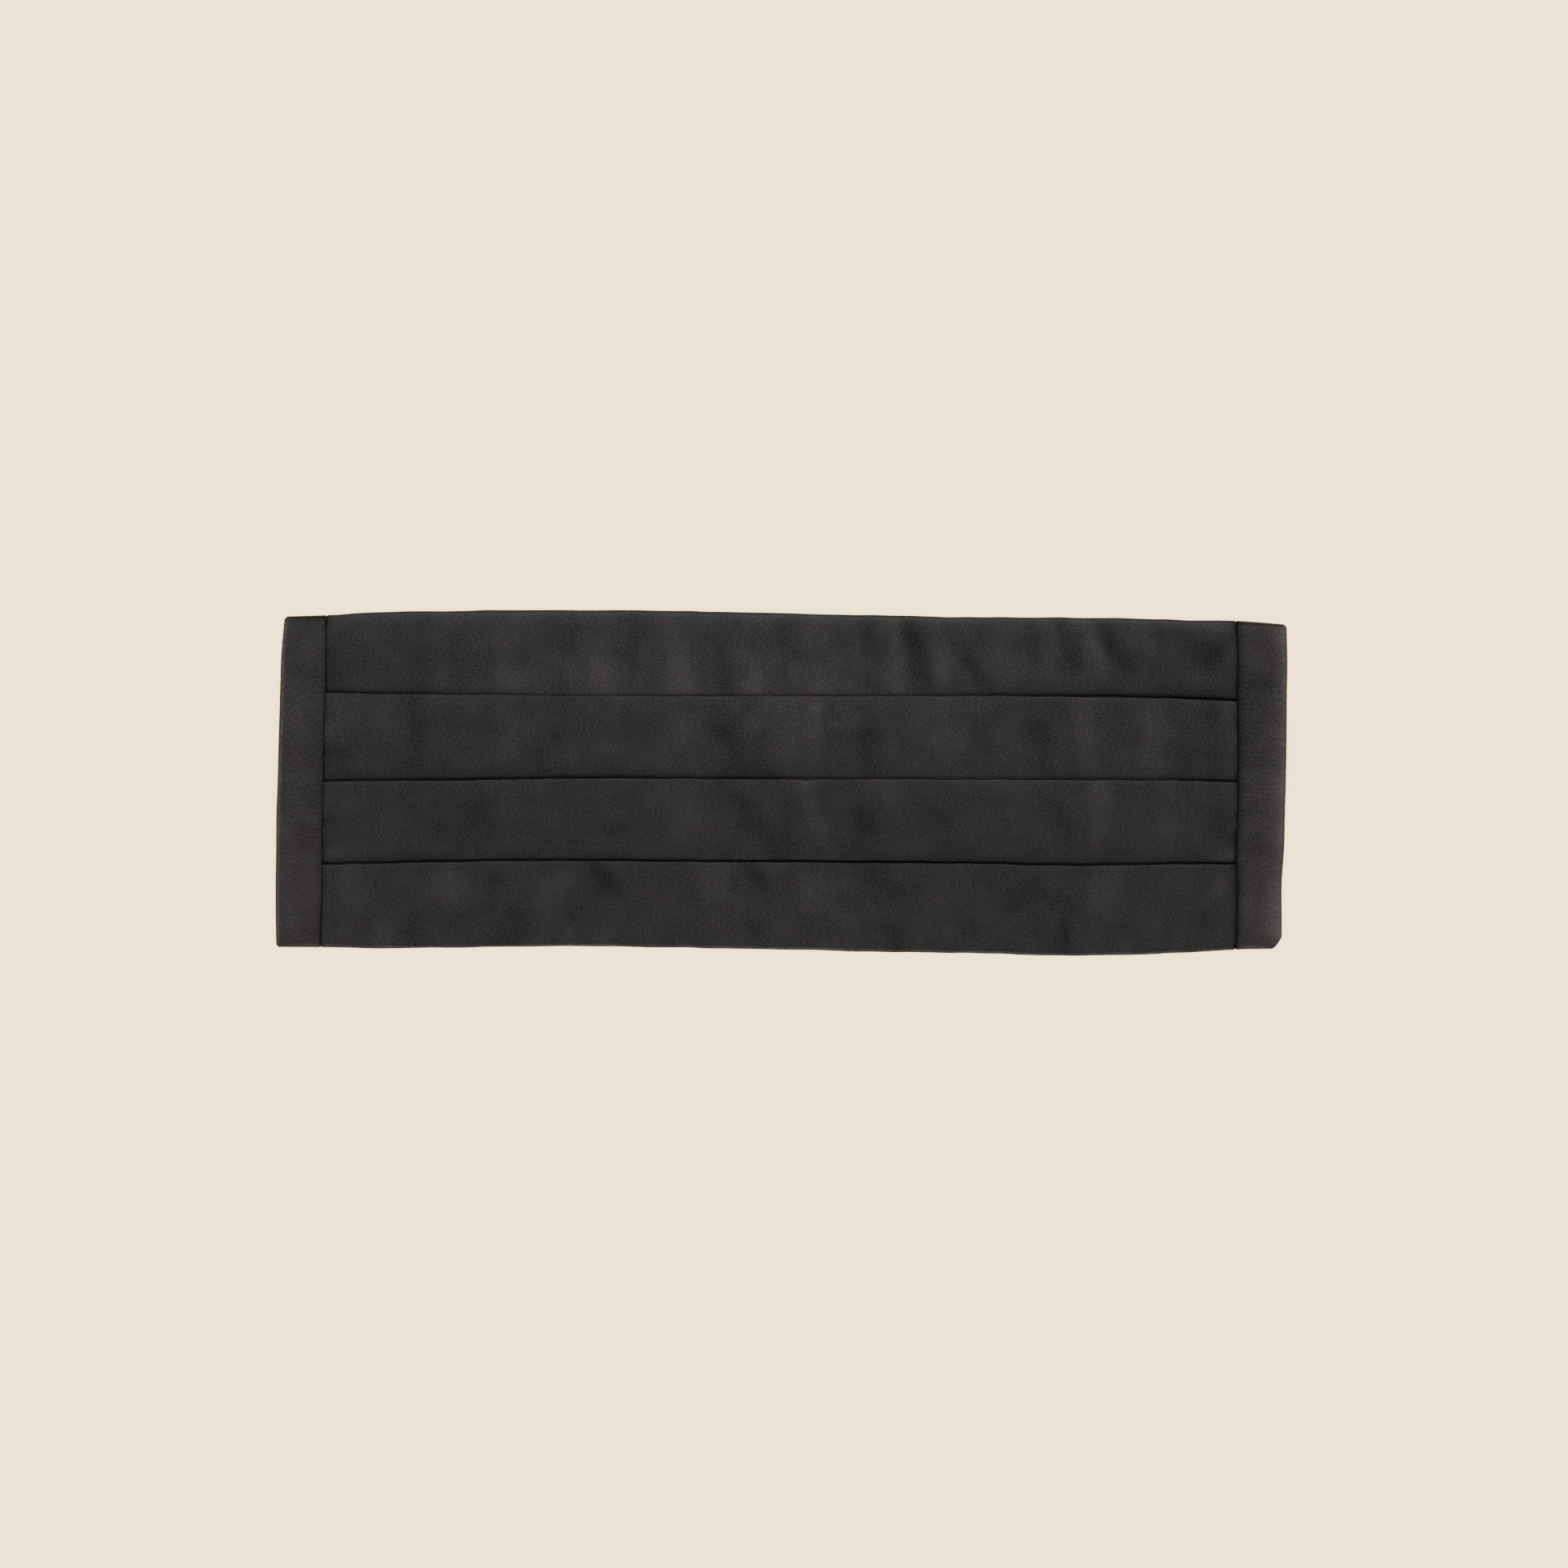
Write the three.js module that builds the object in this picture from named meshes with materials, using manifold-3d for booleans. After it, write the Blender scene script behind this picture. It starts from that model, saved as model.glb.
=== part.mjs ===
// A black satin cummerbund, fastened and laid flat with its front up. Four soft pleats open towards
// the top edge, a folded band closes each end, and a strap with a plain clasp joins the ends behind.
// Millimetres: +X along the length, +Y towards the top edge, +Z up through the front.

import * as THREE from "three";
import { mergeVertices } from "three/addons/utils/BufferGeometryUtils.js";
import Module from "manifold-3d";

const wasm = await Module();
wasm.setup();

const { lerp, smoothstep } = THREE.MathUtils;

// Overall size, over the outer edges of the bands and over the two long edges.
const LENGTH = 382.8;
const HEIGHT = 130.6;

// Cloth: the wall of one layer, the air between folded layers, and the air between two pieces.
const CLOTH = 1;
const LAYER_GAP = 0.25;
const FIT_GAP = 0.3;

// Pleats: how far each one runs on under the next, and the height of the tallest soft ripple.
const PLEATS = 4;
const UNDERLAP = 11;
const RIPPLE_HEIGHT = 1;

// End bands: their width, how far the pleated cloth reaches into them, their pressed outer edge, its
// rounding and the share of it left upright, the ramp of a band up to the fold of each pleat and how
// full that ramp is halfway, and how far before the seam the pleated cloth starts to narrow into them.
const BAND_WIDTH = 18.6;
const SEAM_ALLOWANCE = 9;
const BAND_EDGE = 2.4;
const BAND_EDGE_ROUND = 1.1;
const EDGE_SHARE = 0.45;
const BAND_RAMP = 5;
const RAMP_SHARE = 0.6;
const NARROWING = 14;

// Strap: its section, its middle from the middle of the panel, and its sewn end's distance from the
// outer edge of a band.
const STRAP_WIDTH = 30;
const STRAP_THICKNESS = 1;
const STRAP_SHIFT = -4;
const STRAP_INSET = 7;
const STRAP_RAMP = 16;

// Clasp: a closed flat case with a slot at each end for a strap.
const CLASP_LENGTH = 36;
const CLASP_WALL = 0.9;
const CLASP_RIM = 2.2;
const CLASP_CORNER = 4;
const CLASP_BEVEL = 0.5;
const CLASP_SHIFT = 8;
const SLOT_DEPTH = 9;

// How far the panel bridges out from the strap and the clasp before it is down on the surface.
const FLAT_MARGIN = 3;
const CLASP_MARGIN = 10;
const BRIDGE = 24;

// How finely the forms are cut.
const PANEL_STATIONS = 36;
const BAND_STATIONS = 8;
const POCKET_STATIONS = 3;
const STRAP_STATIONS = 14;
const BACK_PIECES = 11;
const PLEAT_PIECES = 4;
const FOLD_SEGMENTS = 3;

// The layers of the folded cloth, counted up from the plain back: a pleat with its tail, the stretch
// that returns under the next pleat, and the fold on top of it.
const LAYERS = { back: 0, pleat: 1, under: 2, fold: 3 };

// What follows from the driving sizes.
const ROW = HEIGHT / PLEATS;
const PLEATED_END = LENGTH / 2 - BAND_WIDTH + SEAM_ALLOWANCE;
const PITCH = CLOTH + LAYER_GAP;
const FOLD = PITCH / 2 + CLOTH / 2;
const CLASP_WIDTH = STRAP_WIDTH + 2 * FIT_GAP + 2 * CLASP_RIM;
const SLOT_HEIGHT = STRAP_THICKNESS + 2 * FIT_GAP;
const CLASP_THICKNESS = SLOT_HEIGHT + 2 * CLASP_WALL;
const HANDLE_SHARE = 4 / 3;

// The two long edges and the three pleat lines. Each row is a station along the length: `at` is a
// share of LENGTH from the left end, the heights are shares of HEIGHT from the middle.
const OUTLINE = [
  { at: 0.0, top: 0.48, line1: 0.268, line2: 0.008, line3: -0.235, bottom: -0.476 },
  { at: 0.05, top: 0.485, line1: 0.266, line2: 0.008, line3: -0.233, bottom: -0.4765 },
  { at: 0.1, top: 0.4925, line1: 0.261, line2: 0.009, line3: -0.23, bottom: -0.479 },
  { at: 0.2, top: 0.499, line1: 0.26, line2: 0.012, line3: -0.224, bottom: -0.476 },
  { at: 0.3, top: 0.5, line1: 0.257, line2: 0.017, line3: -0.222, bottom: -0.4725 },
  { at: 0.4, top: 0.498, line1: 0.257, line2: 0.017, line3: -0.224, bottom: -0.476 },
  { at: 0.5, top: 0.491, line1: 0.257, line2: 0.0145, line3: -0.226, bottom: -0.4825 },
  { at: 0.6, top: 0.485, line1: 0.257, line2: 0.016, line3: -0.2275, bottom: -0.4885 },
  { at: 0.7, top: 0.4795, line1: 0.2565, line2: 0.0145, line3: -0.2305, bottom: -0.4935 },
  { at: 0.8, top: 0.478, line1: 0.253, line2: 0.013, line3: -0.236, bottom: -0.5 },
  { at: 0.9, top: 0.47, line1: 0.246, line2: 0.0095, line3: -0.232, bottom: -0.491 },
  { at: 0.95, top: 0.4685, line1: 0.2405, line2: 0.006, line3: -0.2325, bottom: -0.483 },
  { at: 1.0, top: 0.4575, line1: 0.237, line2: 0.005, line3: -0.2325, bottom: -0.483 },
];
const HEIGHTS = ["bottom", "line3", "line2", "line1", "top"];

// The outer edge and the seam of each band. Each row is a height: `at` is a share of HEIGHT from the
// middle, the rest are shares of BAND_WIDTH inwards from the overall length.
const ENDS = [
  { at: -0.5, leftEdge: 0.03, leftSeam: 0.9, rightSeam: 1.03, rightEdge: 0.13 },
  { at: -0.44, leftEdge: 0.02, leftSeam: 0.91, rightSeam: 1.02, rightEdge: 0.128 },
  { at: -0.33, leftEdge: 0.0, leftSeam: 0.945, rightSeam: 1.01, rightEdge: 0.128 },
  { at: -0.22, leftEdge: 0.015, leftSeam: 0.947, rightSeam: 1.035, rightEdge: 0.083 },
  { at: -0.11, leftEdge: 0.022, leftSeam: 0.957, rightSeam: 1.01, rightEdge: 0.05 },
  { at: 0.0, leftEdge: 0.048, leftSeam: 0.968, rightSeam: 0.998, rightEdge: 0.028 },
  { at: 0.15, leftEdge: 0.075, leftSeam: 0.985, rightSeam: 1.0, rightEdge: 0.018 },
  { at: 0.26, leftEdge: 0.094, leftSeam: 1.01, rightSeam: 1.01, rightEdge: 0.01 },
  { at: 0.38, leftEdge: 0.118, leftSeam: 1.02, rightSeam: 1.0, rightEdge: 0.0 },
  { at: 0.5, leftEdge: 0.18, leftSeam: 1.02, rightSeam: 1.02, rightEdge: 0.02 },
];

// The corners of the bands: how far each is cut away along the long edge (`reach`) and across it
// (`depth`), as shares of BAND_WIDTH.
const CORNERS = {
  leftTop: { reach: 0.07, depth: 0.07 },
  leftBottom: { reach: 0.06, depth: 0.05 },
  rightTop: { reach: 0.11, depth: 0.1 },
  rightBottom: { reach: 0.24, depth: 0.3 },
};

// Soft ripples of the pleats, counted from the top edge: `at` and `width` are shares of LENGTH,
// `height` is a share of RIPPLE_HEIGHT, and `lean` moves the foot sideways by a share of the row.
const RIPPLES = [
  { pleat: 1, at: 0.17, width: 0.07, height: 0.6, lean: 0.2 },
  { pleat: 1, at: 0.295, width: 0.05, height: 0.8, lean: -0.2 },
  { pleat: 1, at: 0.4, width: 0.045, height: 0.9, lean: 0.1 },
  { pleat: 1, at: 0.485, width: 0.035, height: 0.7, lean: -0.3 },
  { pleat: 1, at: 0.62, width: 0.035, height: 0.9, lean: 0.5 },
  { pleat: 1, at: 0.8, width: 0.06, height: 1, lean: 0.6 },
  { pleat: 2, at: 0.15, width: 0.08, height: 0.5, lean: 0.1 },
  { pleat: 2, at: 0.36, width: 0.06, height: 0.6, lean: -0.1 },
  { pleat: 2, at: 0.52, width: 0.05, height: 0.9, lean: 0.2 },
  { pleat: 2, at: 0.8, width: 0.07, height: 0.8, lean: 0.1 },
  { pleat: 3, at: 0.2, width: 0.08, height: 0.5, lean: 0.2 },
  { pleat: 3, at: 0.53, width: 0.05, height: 1, lean: -0.4 },
  { pleat: 3, at: 0.83, width: 0.08, height: 0.7, lean: 0.1 },
  { pleat: 4, at: 0.16, width: 0.07, height: 0.7, lean: 0.1 },
  { pleat: 4, at: 0.3, width: 0.06, height: 0.8, lean: 0.2 },
  { pleat: 4, at: 0.42, width: 0.05, height: 0.6, lean: -0.1 },
  { pleat: 4, at: 0.7, width: 0.08, height: 0.6, lean: 0.2 },
  { pleat: 4, at: 0.86, width: 0.06, height: 0.8, lean: 0.2 },
];

// A smooth curve through one column of a table, read at `at`.
function sample(table, column, at) {
  const next = table.findIndex((row) => row.at > at);
  const i = next < 0 ? table.length - 2 : Math.max(next - 1, 0);
  const slope = (k) => {
    const before = table[Math.max(k - 1, 0)];
    const after = table[Math.min(k + 1, table.length - 1)];
    return (after[column] - before[column]) / (after.at - before.at);
  };
  const span = table[i + 1].at - table[i].at;
  const t = THREE.MathUtils.clamp((at - table[i].at) / span, 0, 1);
  const bend = t * t * (3 - 2 * t);
  const start = t * (1 - t) * (1 - t) * span * slope(i);
  const finish = t * t * (t - 1) * span * slope(i + 1);
  return lerp(table[i][column], table[i + 1][column], bend) + start + finish;
}

// The true height, at `x`, of a place `across` the even section, whose pleats are all one row high.
function outlineY(x, across) {
  const at = x / LENGTH + 0.5;
  const level = THREE.MathUtils.clamp(across / ROW + PLEATS / 2, 0, PLEATS);
  const i = Math.min(Math.floor(level), PLEATS - 1);
  const below = sample(OUTLINE, HEIGHTS[i], at);
  const above = sample(OUTLINE, HEIGHTS[i + 1], at);
  return HEIGHT * lerp(below, above, level - i);
}

// The outer edge or the seam of a band, on the left (side -1) or the right (side 1).
function endX(side, part, y) {
  const column = (side < 0 ? "left" : "right") + part;
  return side * (LENGTH / 2 - BAND_WIDTH * sample(ENDS, column, y / HEIGHT));
}

// 1 out to `flat`, and from there smoothly down to 0 a bridge further on.
function bridge(distance, flat) {
  return 1 - smoothstep(distance, flat, flat + BRIDGE);
}

// How high the cloth is carried by the strap and the clasp under it.
function carried(x, y) {
  const aside = Math.abs(y - STRAP_SHIFT);
  const along = Math.abs(x - CLASP_SHIFT);
  const overStrap = STRAP_THICKNESS + FIT_GAP;
  const overClasp = CLASP_THICKNESS + FIT_GAP;
  const strap = overStrap * bridge(aside, STRAP_WIDTH / 2 + FLAT_MARGIN);
  const across = bridge(aside, CLASP_WIDTH / 2 + FLAT_MARGIN);
  const lengthways = bridge(along, CLASP_LENGTH / 2 + CLASP_MARGIN);
  return lerp(strap, overClasp, across * lengthways);
}

// The lift of the soft ripples at one place of the even section.
function ripple(x, across) {
  const fromTop = THREE.MathUtils.clamp(PLEATS / 2 - across / ROW, 0, PLEATS);
  const pleat = Math.min(Math.floor(fromTop) + 1, PLEATS);
  const down = fromTop - (pleat - 1);
  const fade = Math.sin(Math.PI * down);
  let lift = 0;
  for (const fold of RIPPLES) {
    const middle = (fold.at - 0.5) * LENGTH + fold.lean * ROW * (down - 0.5);
    const away = Math.min(Math.abs(x - middle) / (fold.width * LENGTH), 1);
    const swell = Math.cos((away * Math.PI) / 2) ** 2;
    if (fold.pleat === pleat) lift += fold.height * RIPPLE_HEIGHT * swell * fade;
  }
  return lift;
}

// The middle of a cloth layer above the underside of the panel.
function layerZ(layer) {
  return CLOTH / 2 + LAYERS[layer] * PITCH;
}

// A straight run of a section's line, in equal pieces.
function run(line, y, z, pieces) {
  const start = line.currentPoint.clone();
  for (let i = 1; i <= pieces; i += 1) {
    line.lineTo(lerp(start.x, y, i / pieces), lerp(start.y, z, i / pieces));
  }
}

// A half turn of the line up or down to `z`, bulging towards the top edge (way 1) or the foot (-1).
function turn(line, z, way) {
  const from = line.currentPoint.clone();
  const out = from.x + (way * HANDLE_SHARE * Math.abs(z - from.y)) / 2;
  line.bezierCurveTo(out, from.y, out, z, from.x, z);
}

// The section of the pleated cloth, `offset` outwards from the middle of its wall: the plain back,
// the turn at the top edge, then each pleat down to its tail, which folds back up under the next.
function pleatedLine(line, offset) {
  const edge = HEIGHT / 2 - FOLD;
  line.moveTo(-edge, layerZ("back") - offset);
  run(line, edge, layerZ("back") - offset, BACK_PIECES);
  turn(line, layerZ("pleat") + offset, 1);
  for (let pleat = 1; pleat < PLEATS; pleat += 1) {
    const lip = HEIGHT / 2 - pleat * ROW;
    run(line, lip, layerZ("pleat") + offset, PLEAT_PIECES);
    run(line, lip - UNDERLAP, layerZ("pleat") + offset, 1);
    turn(line, layerZ("under") - offset, -1);
    run(line, lip - FOLD, layerZ("under") - offset, 1);
    turn(line, layerZ("fold") + offset, 1);
    run(line, lip - UNDERLAP - FOLD, layerZ("fold") + offset, 1);
  }
  run(line, -edge, layerZ("pleat") + offset, PLEAT_PIECES);
  turn(line, layerZ("back") - offset, -1);
  return line;
}

// The front of the pleated cloth as a band lies over it: pairs of a place across the even section
// and a height above the underside. Each pleat is flat over its own tail, slopes down, and ramps up
// again to the fold of the next pleat.
function frontLine() {
  const low = layerZ("pleat") + CLOTH / 2;
  const high = layerZ("fold") + CLOTH / 2;
  const points = [];
  for (let pleat = 1; pleat <= PLEATS; pleat += 1) {
    const lip = HEIGHT / 2 - (pleat - 1) * ROW;
    const flat = UNDERLAP + FOLD;
    const foot = pleat < PLEATS ? ROW - FOLD - BAND_RAMP : ROW - FOLD;
    const slope = (down) => lerp(pleat > 1 ? high : low, low, (down - flat) / (ROW - flat));
    points.push([lip - flat, slope(flat)]);
    points.push([lip - (flat + foot) / 2, slope((flat + foot) / 2)]);
    points.push([lip - foot, slope(foot)]);
    if (pleat < PLEATS) {
      points.push([lip - foot - BAND_RAMP / 2, lerp(slope(foot), high, RAMP_SHARE)]);
      points.push([lip - ROW + FOLD, high]);
    }
  }
  return points;
}

// A closed section round that front: `grow` is how far it stands off the section of the pleats.
function bandLine(line, grow) {
  const low = CLOTH + FIT_GAP - grow;
  const top = CLOTH + FIT_GAP + layerZ("pleat") + CLOTH / 2 + grow;
  const edge = HEIGHT / 2 - CLOTH - FIT_GAP + grow - FOLD;
  line.moveTo(-edge, low);
  run(line, edge, low, BACK_PIECES);
  line.bezierCurveTo(edge + HANDLE_SHARE * FOLD, low, edge + HANDLE_SHARE * FOLD, top, edge, top);
  for (const [across, height] of frontLine()) line.lineTo(across, CLOTH + FIT_GAP + height + grow);
  line.lineTo(-edge, top);
  line.bezierCurveTo(-edge - HANDLE_SHARE * FOLD, top, -edge - HANDLE_SHARE * FOLD, low, -edge, low);
  return line;
}

// The points of one closed line of a section, turning left for an outline and right for a hole.
function closedLine(points, isHole) {
  const open = points.slice(0, points[0].equals(points.at(-1)) ? -1 : undefined);
  return THREE.ShapeUtils.isClockWise(open) === isHole ? open : open.reverse();
}

// A section drawn in the YZ plane, drawn out along X and shaped on the way: `place` takes the share
// of the way, the place across the even section and the height, and gives the true point.
function drawnOut(shape, steps, place) {
  const lines = shape.extractPoints(FOLD_SEGMENTS);
  const rings = [closedLine(lines.shape, false), ...lines.holes.map((hole) => closedLine(hole, true))];
  const perStep = rings.flat().length;
  const stations = [];
  for (let step = 0; step <= steps; step += 1) {
    stations.push(rings.map((ring) => ring.map((point) => place(step / steps, point.x, point.y))));
  }
  const index = [];
  let first = 0;
  for (const ring of rings) {
    for (let i = 0; i < ring.length; i += 1) {
      const here = first + i;
      const next = first + ((i + 1) % ring.length);
      for (let from = 0; from < steps * perStep; from += perStep) {
        const to = from + perStep;
        index.push(from + here, from + next, to + next, from + here, to + next, to + here);
      }
    }
    first += ring.length;
  }
  for (const step of [0, steps]) {
    const flat = (ring) => ring.map((at) => new THREE.Vector2(at.y, at.z));
    const [outline, ...holes] = stations[step].map(flat);
    for (const [a, b, c] of THREE.ShapeUtils.triangulateShape(outline, holes)) {
      const cap = step === 0 ? [a, c, b] : [a, b, c];
      index.push(...cap.map((corner) => step * perStep + corner));
    }
  }
  const positions = stations.flat(2).flatMap((at) => [at.x, at.y, at.z]);
  const geometry = new THREE.BufferGeometry();
  geometry.setAttribute("position", new THREE.Float32BufferAttribute(positions, 3));
  geometry.setIndex(index);
  geometry.computeVertexNormals();
  return geometry;
}

// A closed geometry as a solid that can be cut, and back.
function solidOf(geometry) {
  const bare = new THREE.BufferGeometry();
  bare.setAttribute("position", geometry.getAttribute("position"));
  bare.setIndex(geometry.index);
  const merged = mergeVertices(bare, 1e-4);
  const vertProperties = new Float32Array(merged.getAttribute("position").array);
  const triVerts = new Uint32Array(merged.index.array);
  return new wasm.Manifold(new wasm.Mesh({ numProp: 3, vertProperties, triVerts }));
}

function geometryOf(solid) {
  const mesh = solid.getMesh();
  const geometry = new THREE.BufferGeometry();
  geometry.setAttribute("position", new THREE.BufferAttribute(mesh.vertProperties, mesh.numProp));
  geometry.setIndex(new THREE.BufferAttribute(mesh.triVerts, 1));
  geometry.computeVertexNormals();
  return geometry;
}

// How far along the way into a band a place is: 0 in the open panel, 1 from just before the seam on.
function intoBand(x, y) {
  const side = x < 0 ? -1 : 1;
  const before = side * (endX(side, "Seam", y) - x);
  return 1 - smoothstep(before, FIT_GAP + CLOTH, NARROWING);
}

// The pleated front and its plain back, one cloth closed all round, open at both ends.
function pleatedFront() {
  const shape = pleatedLine(new THREE.Shape(), CLOTH / 2);
  shape.holes.push(pleatedLine(new THREE.Path(), -CLOTH / 2));
  return drawnOut(shape, PANEL_STATIONS, (share, across, z) => {
    const x = lerp(-PLEATED_END, PLEATED_END, share);
    const inBand = intoBand(x, across) * (CLOTH + FIT_GAP);
    const y = outlineY(x, across) * (1 - inBand / outlineY(x, HEIGHT / 2));
    const front = z > CLOTH + LAYER_GAP / 2 ? ripple(x, across) : 0;
    return { x, y, z: z + inBand + carried(x, y) + front };
  });
}

// How much of a corner is cut away from a long edge, `inwards` from the outer edge of its band.
function cornerCut(side, towardsTop, inwards) {
  const name = (side < 0 ? "left" : "right") + (towardsTop ? "Top" : "Bottom");
  const { reach, depth } = CORNERS[name];
  const left = Math.max(1 - inwards / (reach * BAND_WIDTH), 0);
  return depth * BAND_WIDTH * left * Math.sqrt(left);
}

// The place of a band's point at `x`, with the corners of the band cut and the cloth carried.
function bandPlace(side, x, across, z) {
  const inwards = Math.abs(endX(side, "Edge", across) - x);
  const towardsTop = across > 0;
  const limit = outlineY(x, towardsTop ? HEIGHT / 2 : -HEIGHT / 2);
  const cut = cornerCut(side, towardsTop, inwards) / Math.abs(limit);
  const y = outlineY(x, across) * (1 - cut);
  return { x, y, z: z + carried(x, y) };
}

// An end band: cloth folded round the ends of the pleats, closed at both long edges and pressed thin
// at its outer edge.
function endBand(side) {
  const fromEdge = (share) => (side < 0 ? share : 1 - share);
  const full = 2 * (CLOTH + FIT_GAP) + layerZ("fold") + CLOTH / 2;
  const pressedTo = BAND_WIDTH - SEAM_ALLOWANCE - BAND_EDGE;
  const body = drawnOut(bandLine(new THREE.Shape(), CLOTH + FIT_GAP), BAND_STATIONS, (share, across, z) => {
    const edge = endX(side, "Edge", across);
    const x = lerp(edge, endX(side, "Seam", across), fromEdge(share) ** 2);
    const inwards = Math.abs(edge - x);
    const pressed = lerp(BAND_EDGE / full, 1, smoothstep(inwards, BAND_EDGE_ROUND, pressedTo));
    const left = Math.max(1 - inwards / BAND_EDGE_ROUND, 0);
    const shrink = (1 - EDGE_SHARE) * (1 - Math.sqrt(1 - left * left));
    const rounded = lerp(z * pressed, BAND_EDGE / 2, shrink);
    return bandPlace(side, x, across, rounded);
  });
  const pocket = drawnOut(bandLine(new THREE.Shape(), FIT_GAP), POCKET_STATIONS, (share, across, z) => {
    const mouth = endX(side, "Seam", across) - side * CLOTH;
    const x = lerp(side * (PLEATED_END + FIT_GAP), mouth, fromEdge(share));
    return bandPlace(side, x, across, z);
  });
  return geometryOf(solidOf(body).subtract(solidOf(pocket)));
}

// A rounded flat section, centred on `middle`, from the surface up.
function flatSection(width, thickness, middle) {
  const shape = new THREE.Shape();
  const edge = width / 2 - thickness / 2;
  shape.moveTo(middle - edge, 0);
  run(shape, middle + edge, 0, 1);
  turn(shape, thickness, 1);
  run(shape, middle - edge, thickness, 1);
  turn(shape, 0, -1);
  return shape;
}

// A strap: flat on the surface from under its band, and up into its slot of the clasp.
function strap(side) {
  const sewn = side * (LENGTH / 2 - STRAP_INSET);
  const mouth = CLASP_SHIFT + (side * CLASP_LENGTH) / 2;
  const tip = mouth - side * (SLOT_DEPTH - FIT_GAP);
  const section = flatSection(STRAP_WIDTH, STRAP_THICKNESS, STRAP_SHIFT);
  return drawnOut(section, STRAP_STATIONS, (share, across, z) => {
    const inwards = side < 0 ? share : 1 - share;
    const x = lerp(sewn, tip, 1 - (1 - inwards) ** 2);
    const before = side * (x - mouth);
    const lift = (CLASP_WALL + FIT_GAP) * (1 - smoothstep(before, FLAT_MARGIN, STRAP_RAMP));
    return { x, y: across, z: z + lift };
  });
}

// The clasp: a flat case with bevelled edges and a slot into each end.
function clasp() {
  const length = CLASP_LENGTH - 2 * CLASP_BEVEL;
  const width = CLASP_WIDTH - 2 * CLASP_BEVEL;
  const right = length / 2 - CLASP_CORNER;
  const top = width / 2 - CLASP_CORNER;
  const shape = new THREE.Shape();
  shape.absarc(right, top, CLASP_CORNER, 0, Math.PI / 2);
  shape.absarc(-right, top, CLASP_CORNER, Math.PI / 2, Math.PI);
  shape.absarc(-right, -top, CLASP_CORNER, Math.PI, 1.5 * Math.PI);
  shape.absarc(right, -top, CLASP_CORNER, 1.5 * Math.PI, 2 * Math.PI);
  const body = new THREE.ExtrudeGeometry(shape, {
    depth: CLASP_THICKNESS - 2 * CLASP_BEVEL,
    bevelThickness: CLASP_BEVEL,
    bevelSize: CLASP_BEVEL,
    bevelSegments: 2,
    curveSegments: FOLD_SEGMENTS,
  });
  body.translate(0, 0, CLASP_BEVEL);
  let cut = solidOf(body);
  for (const side of [-1, 1]) {
    const slot = new THREE.BoxGeometry(SLOT_DEPTH + CLOTH, STRAP_WIDTH + 2 * FIT_GAP, SLOT_HEIGHT);
    const middle = side * (CLASP_LENGTH / 2 - (SLOT_DEPTH - CLOTH) / 2);
    slot.translate(middle, 0, CLASP_THICKNESS / 2);
    cut = cut.subtract(solidOf(slot));
  }
  return geometryOf(cut);
}

// Finishes.
const satin = new THREE.MeshStandardMaterial({ color: 0x2a2829, roughness: 0.42, metalness: 0 });
const bandSatin = new THREE.MeshStandardMaterial({ color: 0x2d2b2c, roughness: 0.46, metalness: 0 });
const webbing = new THREE.MeshStandardMaterial({ color: 0x1c1b1c, roughness: 0.85, metalness: 0 });
const plastic = new THREE.MeshStandardMaterial({ color: 0x161617, roughness: 0.4, metalness: 0 });

const cummerbund = new THREE.Group();

function addPiece(name, geometry, material) {
  const mesh = new THREE.Mesh(geometry, material);
  mesh.name = name;
  cummerbund.add(mesh);
  return mesh;
}

addPiece("pleated_front", pleatedFront(), satin);
addPiece("end_band_left", endBand(-1), bandSatin);
addPiece("end_band_right", endBand(1), bandSatin);
addPiece("strap_left", strap(-1), webbing);
addPiece("strap_right", strap(1), webbing);
addPiece("clasp", clasp(), plastic).position.set(CLASP_SHIFT, STRAP_SHIFT, 0);

export default cummerbund;
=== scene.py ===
"""A black satin cummerbund, fastened and laid flat with its front up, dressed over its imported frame.

Sizes in the classes are millimetres, and meshes are made in metres: +X along the length, +Y towards
the top edge, +Z up through the front.
"""

import logging
import math
from dataclasses import dataclass
from enum import Enum
from typing import NamedTuple

import bmesh
import bpy
import numpy as np
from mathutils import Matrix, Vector


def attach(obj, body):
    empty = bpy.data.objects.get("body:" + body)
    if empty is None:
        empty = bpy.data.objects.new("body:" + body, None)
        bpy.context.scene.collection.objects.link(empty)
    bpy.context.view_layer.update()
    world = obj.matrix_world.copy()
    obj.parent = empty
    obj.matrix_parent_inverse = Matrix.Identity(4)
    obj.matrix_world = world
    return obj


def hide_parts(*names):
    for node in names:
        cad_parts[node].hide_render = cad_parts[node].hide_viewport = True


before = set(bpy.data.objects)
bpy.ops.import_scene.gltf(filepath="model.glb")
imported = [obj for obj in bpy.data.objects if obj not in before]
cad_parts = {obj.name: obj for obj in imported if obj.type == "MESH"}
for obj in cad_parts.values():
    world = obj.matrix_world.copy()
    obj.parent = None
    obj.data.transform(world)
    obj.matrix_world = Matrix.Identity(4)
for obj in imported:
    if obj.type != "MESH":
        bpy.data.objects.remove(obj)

LOG = logging.getLogger("cummerbund")
MM = 0.001
Array = np.ndarray
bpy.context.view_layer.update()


class Side(Enum):
    """The two ends, by the direction in which each lies."""

    LEFT = -1
    RIGHT = 1


class Weave(Enum):
    """Which way the floats of a satin run on a piece, as the stretch of its grain along U and V."""

    ALONG = (0.55, 1.0)
    ACROSS = (1.0, 0.55)


class Outline(NamedTuple):
    """Long edges and pleat lines at one station: `at` is a share of the length, the rest of the height."""

    at: float
    top: float
    line1: float
    line2: float
    line3: float
    bottom: float


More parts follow.
